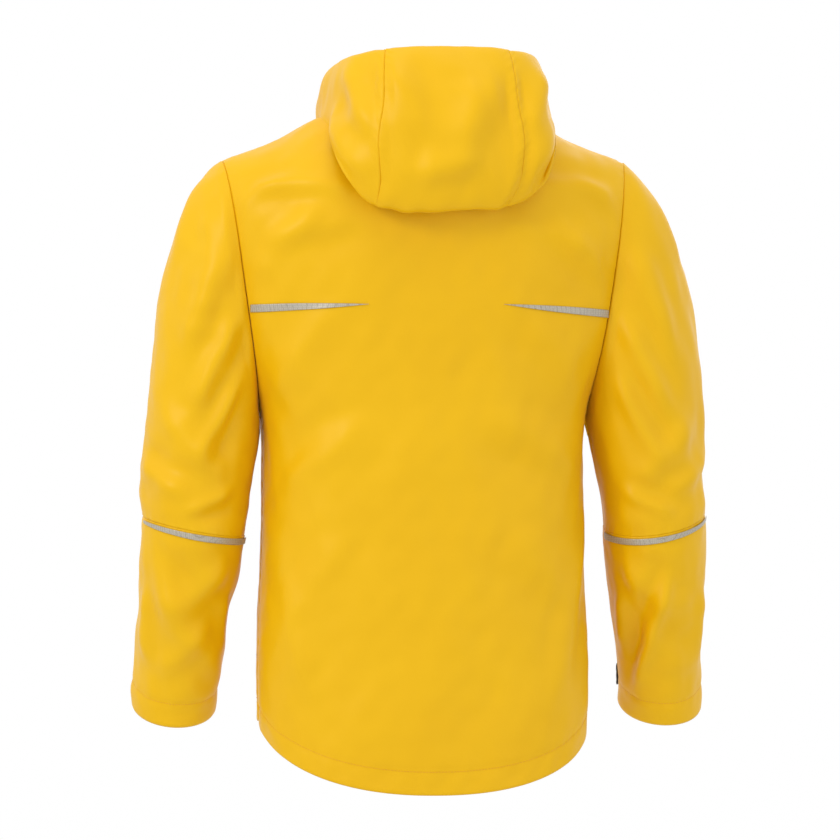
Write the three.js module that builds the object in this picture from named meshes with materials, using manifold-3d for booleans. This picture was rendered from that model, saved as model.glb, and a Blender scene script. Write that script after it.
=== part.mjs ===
// Foul weather jacket, shown filled as if worn, hood lying down on the back.
// Millimetres, +Z up, the front faces -Y and the wearer's left is +X.
// The garment is laid out with z = 0 at the lowest point of the back tail and y = 0 at the side
// seams, and the outer group then moves the hanging loop to the origin.
import * as THREE from 'three';
import { mergeVertices } from 'three/addons/utils/BufferGeometryUtils.js';
import Module from 'manifold-3d';

const wasm = await Module();
wasm.setup();

// ---------------------------------------------------------------- driving dimensions
const SHELL_THICKNESS = 1.4;        // outer cloth with its coating, as one layer
const LINING_THICKNESS = 1.0;
const LINING_DEPTH = 8;             // lining's outer face below the shell's outer face
const FACING_DEPTH = 3.6;           // hem facing's outer face below the shell's outer face
const SEAM_GAP = 0.4;               // half the gap that stands for a seam between two panels
const ARMHOLE_GAP = 2.2;            // sleeve head to body panel
const LAYER_GAP = 0.8;              // trim to the cloth that it lies on

const HEM_HALF_WIDTH = 190;
const WAIST_HALF_WIDTH = 185;
const ARMPIT_HALF_WIDTH = 187;
const SHOULDER_HALF_WIDTH = 231;    // neck centre to shoulder tip
const BACK_DEPTH = 118;             // side seam to centre back
const FRONT_DEPTH = 125;            // side seam to centre front
const BODY_ROUNDNESS = 2.4;         // superellipse exponent of the body's section

const SIDE_HEM_Z = 81;              // side and front hem above the lowest point of the tail
const WAIST_Z = 357;
const ARMPIT_Z = 430;
const SHOULDER_TIP_Z = 722;
const SHOULDER_SLOPE = 0.338;       // drop per mm from neck to shoulder tip
const SHOULDER_ROUND_BACK = 110;    // height over which the back rolls over to the shoulder seam
const SHOULDER_ROUND_FRONT = 85;
const NECK_HALF_WIDTH = 80;
const NAPE_ROUND = 45;              // how softly the shoulder line rounds over at the nape
const FRONT_NECK_DROP = 68;         // front neck point below the shoulder neck point
const COLLAR_HEIGHT = 58;
const COLLAR_LINING_DEPTH = 4;
const COLLAR_LEAN = 5;              // how far the collar's top edge comes in

const SLEEVE_TOP_REACH = 118;       // how far the sleeve head runs out before it turns down
const ELBOW_Z = 300;
const ELBOW_X = 264.5;
const ELBOW_Y = -8;
const ELBOW_HALF_WIDTH = 59;
const ELBOW_HALF_DEPTH = 65;
const ELBOW_SEAM_RISE = 10;         // elbow seam higher on the outside of the arm
const CUFF_Z = 97;
const CUFF_X = 278;
const CUFF_Y = -70;
const CUFF_HALF_WIDTH = 48.5;
const CUFF_HALF_DEPTH = 50;
const CUFF_SLANT = 24;              // back of the cuff hangs lower than its front
const ELBOW_GAP = 1.2;

const HOOD_BOTTOM_DROP = 109.5;     // hood's bottom fold below the neck point, at the centre back
const HOOD_SIDE_DROP = 8.5;         // and at the sides
const HOOD_RIDGE_RISE = 80.5;       // hood's ridge above the neck point
const HOOD_RIDGE_DROP = 15;         // ridge lower at the sides than at the back
const HOOD_HALF_WIDTH = 138;
const HOOD_DEPTH = 166;             // side seam plane to the rearmost point of the hood
const HOOD_LINING_DEPTH = 5;
const HOOD_ROUNDNESS = 2.6;
const HOOD_REST = 10;               // how far the hood's cloth stands above the shoulders
const HOOD_WALL_AT_BACK = 61;       // inner wall above the hood's bottom fold, at the centre back
const HOOD_WALL_AT_SIDE = 8;
const HOOD_SEAM_ANGLE = 27 * Math.PI / 180;
const HOOD_END_ANGLE = 88 * Math.PI / 180;

const ZIP_BEAD_GAP = 2.4;           // half the gap between the two rows of teeth
const ZIP_BEAD_WIDTH = 3;
const ZIP_TAPE_WIDTH = 12;
const ZIP_THICKNESS = 3;
const ZIP_TO_PANEL = 0.6;
const POCKET_X = 118;
const POCKET_BOTTOM_Z = 176;
const POCKET_LENGTH = 170;
const POCKET_BAG_WIDTH = 110;
const POCKET_BAG_INWARDS = 0.68;    // share of the bag that lies towards the centre front
const POCKET_BAG_DROP = 40;
const POCKET_ZIP_HALF_WIDTH = 6;

const STRIP_HEIGHT = 10;            // reflective strips
const STRIP_Z = 549;
const STRIP_TIP_X = 77;
const TRIM_THICKNESS = 0.6;
const STRIP_RISE = 2 * LAYER_GAP + TRIM_THICKNESS;
const STRIP_THIN = 0.2;             // elbow strip's height at its thin end, as a share
const ELBOW_STRIP_START = 0.008;    // below the elbow seam, as a share of the lower sleeve

const EYELET_X = 150;
const EYELET_RISE = 15;             // eyelet above the edge of the hem

const LOOP_HALF_SPAN = 21;
const LOOP_WIDTH = 7;
const LOOP_THICKNESS = 1.5;
const LOOP_BOW = 13;
const LOOP_DROP = 6.5;              // hanging loop below the neck point

// rows and columns of the plain panels
const ROWS_BELOW_ARMPIT = 6;
const ROW_PAIR_HEIGHT = 73;         // height of two rows above the armpit
const BACK_COLUMN_WIDTH = 29;
const FRONT_COLUMN_WIDTH = 26;
const ROWS_ABOVE_ARMPIT = 2 * Math.round((SHOULDER_TIP_Z - ARMPIT_Z) / ROW_PAIR_HEIGHT);
const SLEEVE_SIDES = 2 * ROWS_ABOVE_ARMPIT;

// ---------------------------------------------------------------- finishes
const LINING_SHARE = 0.96;          // how much of a panel's width its lining takes
const LINING_START = 0.22;          // front lining's inner edge, as a share of the panel's width
const FACING_START_ROW = 0.03;
const FACING_ROWS = 0.42;           // height of the hem facing in rows of the panel

const YELLOW = { color: 0xebb61d, roughness: 0.52, metalness: 0 };
const LINING = { color: 0xc9ccd0, roughness: 0.8, metalness: 0 };
const REFLECTIVE = { color: 0xb5b0a6, roughness: 0.35, metalness: 0.4 };
const DARK_GREY = { color: 0x3a3b3d, roughness: 0.6, metalness: 0 };
const TRICOT = { color: 0x55585c, roughness: 0.9, metalness: 0 };
const METAL = { color: 0x8f9194, roughness: 0.3, metalness: 0.9 };

const garment = new THREE.Group();

/** Adds one named sub-part to the garment. */
function addPart(name, geometry, finish) {
  const mesh = new THREE.Mesh(geometry, new THREE.MeshStandardMaterial(finish));
  mesh.name = name;
  garment.add(mesh);
  return mesh;
}

// ---------------------------------------------------------------- small mathematics
const clamp01 = (t) => Math.min(1, Math.max(0, t));
const lerp = THREE.MathUtils.lerp;
const power = (value, exponent) => Math.sign(value) * Math.abs(value) ** exponent;

/** Smooth value through [position, value] stations, position rising. */
function through(stations, position) {
  const last = stations.length - 1;
  if (position <= stations[0][0]) return stations[0][1];
  if (position >= stations[last][0]) return stations[last][1];
  const i = stations.findIndex((station) => station[0] > position) - 1;
  const t = (position - stations[i][0]) / (stations[i + 1][0] - stations[i][0]);
  return lerp(stations[i][1], stations[i + 1][1], t * t * (3 - 2 * t));
}

// ---------------------------------------------------------------- shape of the body
/** Half width of the body's section at a height; above the armpit it runs on inside the sleeve. */
function bodyHalfWidth(z) {
  return through([
    [0, HEM_HALF_WIDTH - 4],
    [SIDE_HEM_Z + 25, HEM_HALF_WIDTH],
    [WAIST_Z, WAIST_HALF_WIDTH],
    [ARMPIT_Z, ARMPIT_HALF_WIDTH],
    [ARMPIT_Z + 110, SHOULDER_HALF_WIDTH - 4],
    [SHOULDER_TIP_Z, SHOULDER_HALF_WIDTH + 29],
  ], z);
}

/** Distance of the armhole seam from the centre line at a height above the armpit. */
function armholeX(z) {
  return through([
    [ARMPIT_Z, ARMPIT_HALF_WIDTH],
    [ARMPIT_Z + 110, lerp(ARMPIT_HALF_WIDTH, SHOULDER_HALF_WIDTH, 0.43)],
    [SHOULDER_TIP_Z, SHOULDER_HALF_WIDTH],
  ], z);
}

const shoulderRun = (x) => Math.hypot(x, NAPE_ROUND);
const shoulderZ = (x) => SHOULDER_TIP_Z
  + SHOULDER_SLOPE * (shoulderRun(SHOULDER_HALF_WIDTH) - shoulderRun(x));
const NECK_POINT_Z = shoulderZ(NECK_HALF_WIDTH);
const FRONT_NECK_Z = NECK_POINT_Z - FRONT_NECK_DROP;
const HOOD_BOTTOM_Z = NECK_POINT_Z - HOOD_BOTTOM_DROP;
const HOOD_SIDE_Z = NECK_POINT_Z - HOOD_SIDE_DROP;
const HOOD_RIDGE_Z = NECK_POINT_Z + HOOD_RIDGE_RISE;
const LOOP_Z = NECK_POINT_Z - LOOP_DROP;

/** Depth of the body's surface, behind the side seams for side +1 and before them for side -1. */
function bodyY(x, z, side) {
  const depth = side > 0 ? BACK_DEPTH : FRONT_DEPTH;
  const round = side > 0 ? SHOULDER_ROUND_BACK : SHOULDER_ROUND_FRONT;
  const across = clamp01(Math.abs(x) / bodyHalfWidth(z));
  const section = (1 - across ** BODY_ROUNDNESS) ** (1 / BODY_ROUNDNESS);
  const below = clamp01((shoulderZ(x) - z) / round);
  return side * (SEAM_GAP + depth * section * Math.sqrt(1 - (1 - below) ** 2));
}

/** Height of the hem at a distance from the centre; the back drops in a rounded tail. */
function hemZ(x, side) {
  if (side < 0) return SIDE_HEM_Z;
  const across = clamp01(Math.abs(x) / HEM_HALF_WIDTH);
  return SIDE_HEM_Z * (1 - Math.sqrt(1 - across ** 2.2));
}

/** Height of a panel's top edge: the neckline, and beyond it the shoulder seam. */
function panelTopZ(x, side) {
  const across = Math.abs(x) / NECK_HALF_WIDTH;
  if (across >= 1) return shoulderZ(x);
  if (side > 0) return NECK_POINT_Z - (1 - across ** 2);
  return FRONT_NECK_Z + FRONT_NECK_DROP * (1 - Math.sqrt(1 - across ** 2));
}

/**
 * Point of a body panel. fan runs from the centre line (0) to the side or armhole edge (1), and
 * row from the hem (0) over the armpit (ROWS_BELOW_ARMPIT) to the shoulder.
 */
function bodyPoint(fan, row, side, centreX = 0) {
  const sign = Math.sign(fan) || 1;
  const share = Math.abs(fan);
  const above = row > ROWS_BELOW_ARMPIT;
  const climb = above
    ? (1 - Math.cos(Math.PI * (row - ROWS_BELOW_ARMPIT) / ROWS_ABOVE_ARMPIT)) / 2
    : row / ROWS_BELOW_ARMPIT;
  const edgeRise = above ? lerp(ARMPIT_Z, SHOULDER_TIP_Z, climb) : 0;
  let z = above ? edgeRise : lerp(SIDE_HEM_Z, ARMPIT_Z, climb);
  let x = 0;
  for (let pass = 0; pass < 6; pass += 1) {
    const width = bodyHalfWidth(above ? edgeRise : z);
    const edge = above ? armholeX(edgeRise) : width;
    const edgeAngle = Math.asin(clamp01(edge / width) ** (BODY_ROUNDNESS / 2));
    const startAngle = Math.asin((centreX / width) ** (BODY_ROUNDNESS / 2));
    const angle = lerp(startAngle, edgeAngle, share);
    x = width * Math.sin(angle) ** (2 / BODY_ROUNDNESS);
    z = above ? lerp(ARMPIT_Z, panelTopZ(x, side), climb) : lerp(hemZ(x, side), ARMPIT_Z, climb);
  }
  return new THREE.Vector3(sign * x, bodyY(x, z, side), z);
}

// ---------------------------------------------------------------- closed sheets
/** Merges shared corners and orders every face outwards. */
function closedGeometry(positions, faces) {
  const geometry = new THREE.BufferGeometry();
  geometry.setAttribute('position', new THREE.Float32BufferAttribute(positions, 3));
  geometry.setIndex(signedVolume(positions, faces) < 0 ? faces.reverse() : faces);
  geometry.computeVertexNormals();
  return geometry;
}

/** Six times the volume that the faces enclose, negative when they face inwards. */
function signedVolume(positions, faces) {
  const corner = (i) => new THREE.Vector3().fromArray(positions, 3 * i);
  let volume = 0;
  for (let i = 0; i < faces.length; i += 3) {
    const cross = corner(faces[i + 1]).cross(corner(faces[i + 2]));
    volume += corner(faces[i]).dot(cross);
  }
  return volume;
}

/**
 * A sheet with thickness: point(i, j) gives the outer face on a grid of columns by rows, and the
 * inner face lies below it. depth is how far the outer face is sunk below point(i, j), away from
 * the sheet's outside. A closed sheet joins its last column to its first, as a sleeve does.
 */
function sheetSolid({ point, columns, rows, thickness, depth = 0, closed = false, flip = false }) {
  const step = 0.02;
  const across = closed ? columns : columns + 1;
  const positions = [];
  for (const level of [depth, depth + thickness]) {
    for (let j = 0; j <= rows; j += 1) {
      for (let i = 0; i < across; i += 1) {
        const sunk = offsetPoint(point, i, j, { columns, rows, closed, step, flip });
        positions.push(...sunk(level).toArray());
      }
    }
  }
  return closedGeometry(positions, sheetFaces(across, columns, rows, closed));
}

/** Gives a function that lowers one grid point below the sheet's outside by a distance. */
function offsetPoint(point, i, j, { columns, rows, closed, step, flip }) {
  const low = closed ? i - step : Math.max(0, i - step);
  const high = closed ? i + step : Math.min(columns, i + step);
  const alongColumns = point(high, j).sub(point(low, j));
  const alongRows = point(i, Math.min(rows, j + step)).sub(point(i, Math.max(0, j - step)));
  const normal = alongColumns.cross(alongRows).normalize();
  const base = point(i, j);
  return (distance) => base.clone().addScaledVector(normal, flip ? distance : -distance);
}

/** Triangles of a two-layer grid with its four edges closed. */
function sheetFaces(across, columns, rows, closed) {
  const layer = across * (rows + 1);
  const at = (i, j, inner) => (i % across) + j * across + (inner ? layer : 0);
  const faces = [];
  const quad = (a, b, c, d) => faces.push(a, b, c, a, c, d);
  for (let j = 0; j < rows; j += 1) {
    for (let i = 0; i < columns; i += 1) {
      quad(at(i, j), at(i + 1, j), at(i + 1, j + 1), at(i, j + 1));
      quad(at(i, j, 1), at(i, j + 1, 1), at(i + 1, j + 1, 1), at(i + 1, j, 1));
    }
  }
  for (let i = 0; i < columns; i += 1) {
    quad(at(i, 0), at(i, 0, 1), at(i + 1, 0, 1), at(i + 1, 0));
    quad(at(i, rows), at(i + 1, rows), at(i + 1, rows, 1), at(i, rows, 1));
  }
  for (let j = 0; !closed && j < rows; j += 1) {
    quad(at(0, j), at(0, j + 1), at(0, j + 1, 1), at(0, j, 1));
    quad(at(columns, j), at(columns, j, 1), at(columns, j + 1, 1), at(columns, j + 1));
  }
  return faces;
}

// ---------------------------------------------------------------- body panels and linings
const ZIP_EDGE_X = ZIP_BEAD_GAP + ZIP_TAPE_WIDTH + ZIP_TO_PANEL;
const BODY_ROWS = ROWS_BELOW_ARMPIT + ROWS_ABOVE_ARMPIT;
const LINING_ROWS = BODY_ROWS / 2;

/** The back, one panel from side seam to side seam. */
function addBack() {
  const columns = 2 * Math.round(SHOULDER_HALF_WIDTH / BACK_COLUMN_WIDTH);
  const point = (i, j) => bodyPoint(2 * i / columns - 1, j, 1);
  addPart('back_panel', sheetSolid({
    point, columns, rows: BODY_ROWS, thickness: SHELL_THICKNESS, flip: true,
  }), YELLOW);
  const lined = columns / 2;
  const inset = (i, j) => bodyPoint(LINING_SHARE * (2 * i / lined - 1), liningRow(j), 1);
  addPart('lining_back', sheetSolid({
    point: inset, columns: lined, rows: LINING_ROWS, flip: true,
    thickness: LINING_THICKNESS, depth: LINING_DEPTH,
  }), LINING);
}

/** Lining rows start above the hem facing and stop short of the shoulder seam. */
function liningRow(j) {
  return lerp(0.8, BODY_ROWS - 1.7, j / LINING_ROWS);
}

/** One front panel; hand is +1 for the wearer's left. */
function addFront(hand, label) {
  const columns = Math.round(SHOULDER_HALF_WIDTH / FRONT_COLUMN_WIDTH);
  const point = (i, j) => bodyPoint(i / columns, j, -1, ZIP_EDGE_X);
  const onHand = (surface) => (i, j) => withHand(surface(i, j), hand);
  addPart(`front_panel_${label}`, sheetSolid({
    point: onHand(point), columns, rows: BODY_ROWS, thickness: SHELL_THICKNESS, flip: hand < 0,
  }), YELLOW);
  const lined = 5;
  const lined01 = (i) => lerp(LINING_START, LINING_SHARE, i / lined);
  const inset = (i, j) => bodyPoint(lined01(i), liningRow(j), -1, ZIP_EDGE_X);
  addPart(`lining_front_${label}`, sheetSolid({
    point: onHand(inset), columns: lined, rows: LINING_ROWS, flip: hand < 0,
    thickness: LINING_THICKNESS, depth: LINING_DEPTH,
  }), LINING);
}

/** Puts a point on the wearer's left (+1) or right (-1). */
function withHand(point, hand) {
  point.x = hand * Math.abs(point.x);
  return point;
}

/** A band inside the hem, following the panel's lower edge. */
function addHemFacing(name, { side, from, to, columns, hand }) {
  const centreX = hand ? ZIP_EDGE_X : 0;
  const point = (i, j) => {
    const row = FACING_START_ROW + FACING_ROWS * j;
    const placed = bodyPoint(lerp(from, to, i / columns), row, side, centreX);
    return hand ? withHand(placed, hand) : placed;
  };
  addPart(name, sheetSolid({
    point, columns, rows: 1, flip: side > 0 || hand < 0,
    thickness: LINING_THICKNESS, depth: FACING_DEPTH,
  }), YELLOW);
}

// ---------------------------------------------------------------- collar
/** Neckline point; turn runs from the centre front (0) over the shoulder (0.5) to the back (1). */
function necklinePoint(turn) {
  if (turn < 0.5) {
    const swing = lerp(Math.asin(ZIP_EDGE_X / NECK_HALF_WIDTH), Math.PI / 2, 2 * turn);
    const x = NECK_HALF_WIDTH * Math.sin(swing);
    const z = FRONT_NECK_Z + FRONT_NECK_DROP * (1 - Math.cos(swing));
    return new THREE.Vector3(x, bodyY(x, z, -1), z);
  }
  const swing = Math.PI * (turn - 0.5);
  const x = NECK_HALF_WIDTH * Math.cos(swing);
  const z = NECK_POINT_Z - Math.sin(swing) ** 2;
  return new THREE.Vector3(x, bodyY(x, z, 1), z);
}

/** Point of the standing collar; around runs -1 to 1 from front to front, up from 0 to 1. */
function collarPoint(around, up) {
  const base = necklinePoint(1 - Math.abs(around));
  base.x *= Math.sign(around) || 1;
  const settle = clamp01(4 * (1 - Math.abs(around)));
  const lean = 1 - COLLAR_LEAN * up * settle / NECK_HALF_WIDTH;
  return new THREE.Vector3(base.x * lean, base.y * lean, base.z + 3 * LAYER_GAP + COLLAR_HEIGHT * up);
}

function addCollar() {
  const columns = 28;
  const rows = 3;
  const point = (i, j) => collarPoint(1 - 2 * i / columns, j / rows);
  addPart('collar_outer', sheetSolid({ point, columns, rows, thickness: SHELL_THICKNESS }), YELLOW);
  const [liningLow, liningHigh, liningShare] = [0.05, 0.93, 0.93];
  const inner = (i, j) => {
    const up = lerp(liningLow, liningHigh, j / rows);
    return collarPoint(liningShare * (1 - 2 * i / columns), up);
  };
  addPart('collar_lining', sheetSolid({
    point: inner, columns, rows, thickness: LINING_THICKNESS, depth: COLLAR_LINING_DEPTH,
  }), LINING);
}

// ---------------------------------------------------------------- sleeves
/** Armhole loop; angle 0 is the shoulder tip, pi the underarm, and back and front lie between. */
function armholePoint(angle) {
  const climb = (1 + Math.cos(angle)) / 2;
  const z = lerp(ARMPIT_Z, SHOULDER_TIP_Z, climb);
  const x = armholeX(z);
  const side = Math.sin(angle) >= 0 ? 1 : -1;
  const depth = Math.abs(Math.sin(angle)) < 1e-9 ? 0 : bodyY(x, z, side);
  return new THREE.Vector3(x, depth, z);
}

/** Ring of the sleeve at the elbow seam. */
function elbowPoint(angle) {
  return new THREE.Vector3(
    ELBOW_X + ELBOW_HALF_WIDTH * Math.cos(angle),
    ELBOW_Y + ELBOW_HALF_DEPTH * Math.sin(angle),
    ELBOW_Z + ELBOW_SEAM_RISE * Math.cos(angle),
  );
}

/** Ring of the sleeve's end. */
function cuffPoint(angle) {
  return new THREE.Vector3(
    CUFF_X + CUFF_HALF_WIDTH * Math.cos(angle),
    CUFF_Y + CUFF_HALF_DEPTH * Math.sin(angle),
    CUFF_Z - CUFF_SLANT * Math.sin(angle),
  );
}

/** Cubic from start to end, leaving and arriving along the given handles. */
function cubicPoint(start, leaving, arriving, end, t) {
  const s = 1 - t;
  return start.clone().multiplyScalar(s ** 3)
    .addScaledVector(leaving, 3 * s * s * t)
    .addScaledVector(arriving, 3 * s * t * t)
    .addScaledVector(end, t ** 3);
}

/** Upper sleeve: out of the armhole and down to the elbow seam. */
function upperSleevePoint(angle, along) {
  const outside = (1 + Math.cos(angle)) / 2;
  const start = armholePoint(angle);
  start.x += ARMHOLE_GAP;
  const end = elbowPoint(angle);
  end.z += ELBOW_GAP / 2;
  const sideways = lerp(0.1, 0.76, outside);
  const out = new THREE.Vector3(sideways, 0.18 * Math.sin(angle), -lerp(1, 0.62, outside));
  const reach = lerp(0.35 * (ARMPIT_Z - ELBOW_Z), SLEEVE_TOP_REACH, outside);
  const leaving = start.clone().addScaledVector(out, reach);
  const climb = new THREE.Vector3(-0.03, 0.02, 1).multiplyScalar(0.33 * (start.z - end.z));
  return cubicPoint(start, leaving, end.clone().add(climb), end, along);
}

/** Lower sleeve: from the elbow seam forwards and down to the cuff. */
function lowerSleevePoint(angle, along) {
  const start = elbowPoint(angle);
  start.z -= ELBOW_GAP / 2;
  const end = cuffPoint(angle);
  const drop = start.z - end.z;
  const leaving = start.clone().add(new THREE.Vector3(0.03, -0.08, -0.33).multiplyScalar(drop));
  const arriving = end.clone().add(new THREE.Vector3(-0.02, 0.12, 0.33).multiplyScalar(drop));
  return cubicPoint(start, leaving, arriving, end, along);
}

/** A stretch of sleeve between two angles, or the whole tube. */
function sleeveSheet(surface, hand, { angles, along, columns, rows, thickness, depth = 0 }) {
  const closed = !angles;
  const [first, last] = angles || [0, 2 * Math.PI];
  const point = (i, j) => {
    const placed = surface(lerp(first, last, i / columns), lerp(along[0], along[1], j / rows));
    placed.x *= hand;
    return placed;
  };
  return sheetSolid({ point, columns, rows, thickness, depth, closed, flip: hand > 0 });
}

const degrees = (value) => value * Math.PI / 180;
const CUFF_TAB_ANGLES = [degrees(205), degrees(325)];
const CUFF_LOOP_ANGLES = [degrees(240), degrees(322)];
const CUFF_HOOK_ANGLES = [degrees(288), degrees(320)];
const CUFF_TAB_ALONG = [0.82, 0.95];
const CUFF_LOOP_ALONG = [0.835, 0.935];
const CUFF_LOOP_RISE = LAYER_GAP + TRIM_THICKNESS;
const CUFF_HOOK_RISE = CUFF_LOOP_RISE + LAYER_GAP + TRIM_THICKNESS;
const CUFF_TAB_RISE = CUFF_HOOK_RISE + LAYER_GAP + SHELL_THICKNESS;

function addSleeve(hand, label) {
  const tube = { columns: SLEEVE_SIDES, thickness: SHELL_THICKNESS };
  const lining = { columns: SLEEVE_SIDES / 2, thickness: LINING_THICKNESS, depth: LINING_DEPTH };
  const sheet = (name, surface, finish, shape) => {
    addPart(`${name}_${label}`, sleeveSheet(surface, hand, shape), finish);
  };
  sheet('sleeve_upper', upperSleevePoint, YELLOW, { ...tube, along: [0, 1], rows: 8 });
  sheet('sleeve_lower', lowerSleevePoint, YELLOW, { ...tube, along: [0, 1], rows: 5 });
  const linedAbove = { ...lining, along: [0.12, 0.97], rows: 4 };
  sheet('sleeve_lining_upper', upperSleevePoint, LINING, linedAbove);
  const linedBelow = { ...lining, along: [0.03, 0.9], rows: 3 };
  sheet('sleeve_lining_lower', lowerSleevePoint, LINING, linedBelow);
  sheet('cuff_tab', lowerSleevePoint, DARK_GREY, {
    angles: CUFF_TAB_ANGLES, along: CUFF_TAB_ALONG, columns: 8, rows: 1,
    thickness: SHELL_THICKNESS, depth: -CUFF_TAB_RISE,
  });
  sheet('cuff_loop_patch', lowerSleevePoint, DARK_GREY, {
    angles: CUFF_LOOP_ANGLES, along: CUFF_LOOP_ALONG, columns: 6, rows: 1,
    thickness: TRIM_THICKNESS, depth: -CUFF_LOOP_RISE,
  });
  sheet('cuff_hook_patch', lowerSleevePoint, DARK_GREY, {
    angles: CUFF_HOOK_ANGLES, along: CUFF_LOOP_ALONG, columns: 3, rows: 1,
    thickness: TRIM_THICKNESS, depth: -CUFF_HOOK_RISE,
  });
  addElbowStrip(hand, label);
}

/** Reflective crescent below the elbow seam, thin on the outside of the arm and full inside. */
function addElbowStrip(hand, label) {
  const columns = 8;
  const sleeveLength = ELBOW_Z - CUFF_Z;
  const point = (i, j) => {
    const share = i / columns;
    const height = lerp(STRIP_THIN * STRIP_HEIGHT, STRIP_HEIGHT, Math.sqrt(share));
    const along = ELBOW_STRIP_START + j * height / sleeveLength;
    const placed = lowerSleevePoint(lerp(degrees(12), degrees(172), share), along);
    placed.x *= hand;
    return placed;
  };
  addPart(`elbow_strip_${label}`, sheetSolid({
    point, columns, rows: 1, thickness: TRIM_THICKNESS, depth: -STRIP_RISE, flip: hand > 0,
  }), REFLECTIVE);
}

/** Reflective strip across the shoulder blade, from the armhole seam to a point. */
function addBackStrip(hand, label) {
  const columns = 8;
  const outer = armholeX(STRIP_Z) - ARMHOLE_GAP;
  const point = (i, j) => {
    const share = i / columns;
    const x = lerp(outer, STRIP_TIP_X, share);
    const half = STRIP_HEIGHT / 2 * Math.max(0.04, 1 - share ** 2.2);
    const z = STRIP_Z + lerp(-half, half, j);
    return new THREE.Vector3(hand * x, bodyY(x, z, 1), z);
  };
  addPart(`back_strip_${label}`, sheetSolid({
    point, columns, rows: 1, thickness: TRIM_THICKNESS, depth: -STRIP_RISE, flip: hand < 0,
  }), REFLECTIVE);
}

// ---------------------------------------------------------------- hood, lying down on the back
/** Lower edge of the hood around the back; angle 0 is the centre back, 90 degrees the side. */
function hoodBottomZ(angle) {
  return lerp(HOOD_BOTTOM_Z, HOOD_SIDE_Z, (Math.abs(angle) / (Math.PI / 2)) ** 2.6);
}

/** Profile of the hood at one angle, from its inner wall round its bottom fold to the face edge. */
function hoodProfile(angle) {
  const sideways = power(Math.sin(angle), 2 / HOOD_ROUNDNESS);
  const backwards = Math.cos(angle) ** (2 / HOOD_ROUNDNESS);
  const bottom = hoodBottomZ(angle);
  const ridge = HOOD_RIDGE_Z - HOOD_RIDGE_DROP * (1 - Math.cos(angle));
  const innerRise = HOOD_WALL_AT_SIDE + (HOOD_WALL_AT_BACK - HOOD_WALL_AT_SIDE) * Math.cos(angle) ** 2;
  const place = (width, depth, z, clear) => {
    const x = width * HOOD_HALF_WIDTH * sideways;
    const lowered = z - HOOD_REST;
    const rest = lowered < shoulderZ(x) ? bodyY(x, lowered, 1) + clear : 0;
    return new THREE.Vector3(x, Math.max(depth * HOOD_DEPTH * backwards, rest), z);
  };
  return new THREE.CatmullRomCurve3([
    place(0.75, 0, bottom + innerRise, 5),
    place(0.79, 0, bottom + 7, 6),
    place(0.88, 0.87, bottom, 16),
    place(0.985, 1, lerp(bottom, ridge, 0.3), 24),
    place(1, 0.985, lerp(bottom, ridge, 0.6), 24),
    place(0.93, 0.86, lerp(bottom, ridge, 0.87), 24),
    place(0.865, 0.73, ridge, 20),
    place(0.82, 0.67, ridge - 9, 14),
  ]);
}

function hoodPanel(name, { from, to, columns, rows, finish, thickness, depth, span }) {
  const point = (i, j) => {
    const profile = hoodProfile(lerp(from, to, i / columns));
    return profile.getPoint(lerp(span[0], span[1], j / rows));
  };
  addPart(name, sheetSolid({ point, columns, rows, thickness, depth, flip: true }), finish);
}

function addHood() {
  const shell = { rows: 14, finish: YELLOW, thickness: SHELL_THICKNESS, depth: 0, span: [0, 1] };
  const seam = degrees(0.35);
  hoodPanel('hood_centre_panel', {
    ...shell, from: -HOOD_SEAM_ANGLE + seam, to: HOOD_SEAM_ANGLE - seam, columns: 6,
  });
  hoodPanel('hood_side_left', { ...shell, from: HOOD_SEAM_ANGLE, to: HOOD_END_ANGLE, columns: 8 });
  hoodPanel('hood_side_right', { ...shell, from: -HOOD_END_ANGLE, to: -HOOD_SEAM_ANGLE, columns: 8 });
  hoodPanel('hood_lining', {
    from: -degrees(40), to: degrees(40), columns: 8, rows: 12, span: [1 / 14, 13 / 14],
    finish: LINING, thickness: LINING_THICKNESS, depth: HOOD_LINING_DEPTH,
  });
}

/** Band that joins the hood to the neck seam at the nape. */
function addHoodNeckBand() {
  const columns = 8;
  const halfWidth = 0.8 * NECK_HALF_WIDTH;
  const fromHood = 70;
  const belowNeck = 16;
  const clearOfBack = 4.5;
  const point = (i, j) => {
    const x = lerp(-halfWidth, halfWidth, i / columns);
    const z = lerp(HOOD_BOTTOM_Z + fromHood, NECK_POINT_Z - belowNeck, j / 2);
    return new THREE.Vector3(x, bodyY(x, z, 1) + clearOfBack, z);
  };
  addPart('hood_neck_band', sheetSolid({
    point, columns, rows: 2, thickness: SHELL_THICKNESS, flip: true,
  }), YELLOW);
}

// ---------------------------------------------------------------- hard trim and closures
/** A box between two corners. */
function boxBetween(low, high) {
  const size = high.map((value, axis) => value - low[axis]);
  const geometry = new THREE.BoxGeometry(...size);
  geometry.translate(...high.map((value, axis) => (value + low[axis]) / 2));
  return geometry;
}

/** A manifold solid from a geometry, its shared corners merged. */
function toManifold(geometry) {
  const bare = geometry.clone();
  bare.deleteAttribute('normal');
  bare.deleteAttribute('uv');
  const merged = mergeVertices(bare, 1e-4);
  const vertProperties = new Float32Array(merged.attributes.position.array);
  const triVerts = new Uint32Array(merged.index.array);
  return new wasm.Manifold(new wasm.Mesh({ numProp: 3, vertProperties, triVerts }));
}

function fromManifold(solid) {
  const mesh = solid.getMesh();
  const geometry = new THREE.BufferGeometry();
  geometry.setAttribute('position', new THREE.BufferAttribute(new Float32Array(mesh.vertProperties), 3));
  geometry.setIndex(new THREE.BufferAttribute(new Uint32Array(mesh.triVerts), 1));
  geometry.computeVertexNormals();
  return geometry;
}

/** Several geometries as one solid. */
const joined = (...shapes) => {
  const solids = shapes.map(toManifold);
  return fromManifold(solids.reduce((whole, next) => whole.add(next)));
};

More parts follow.
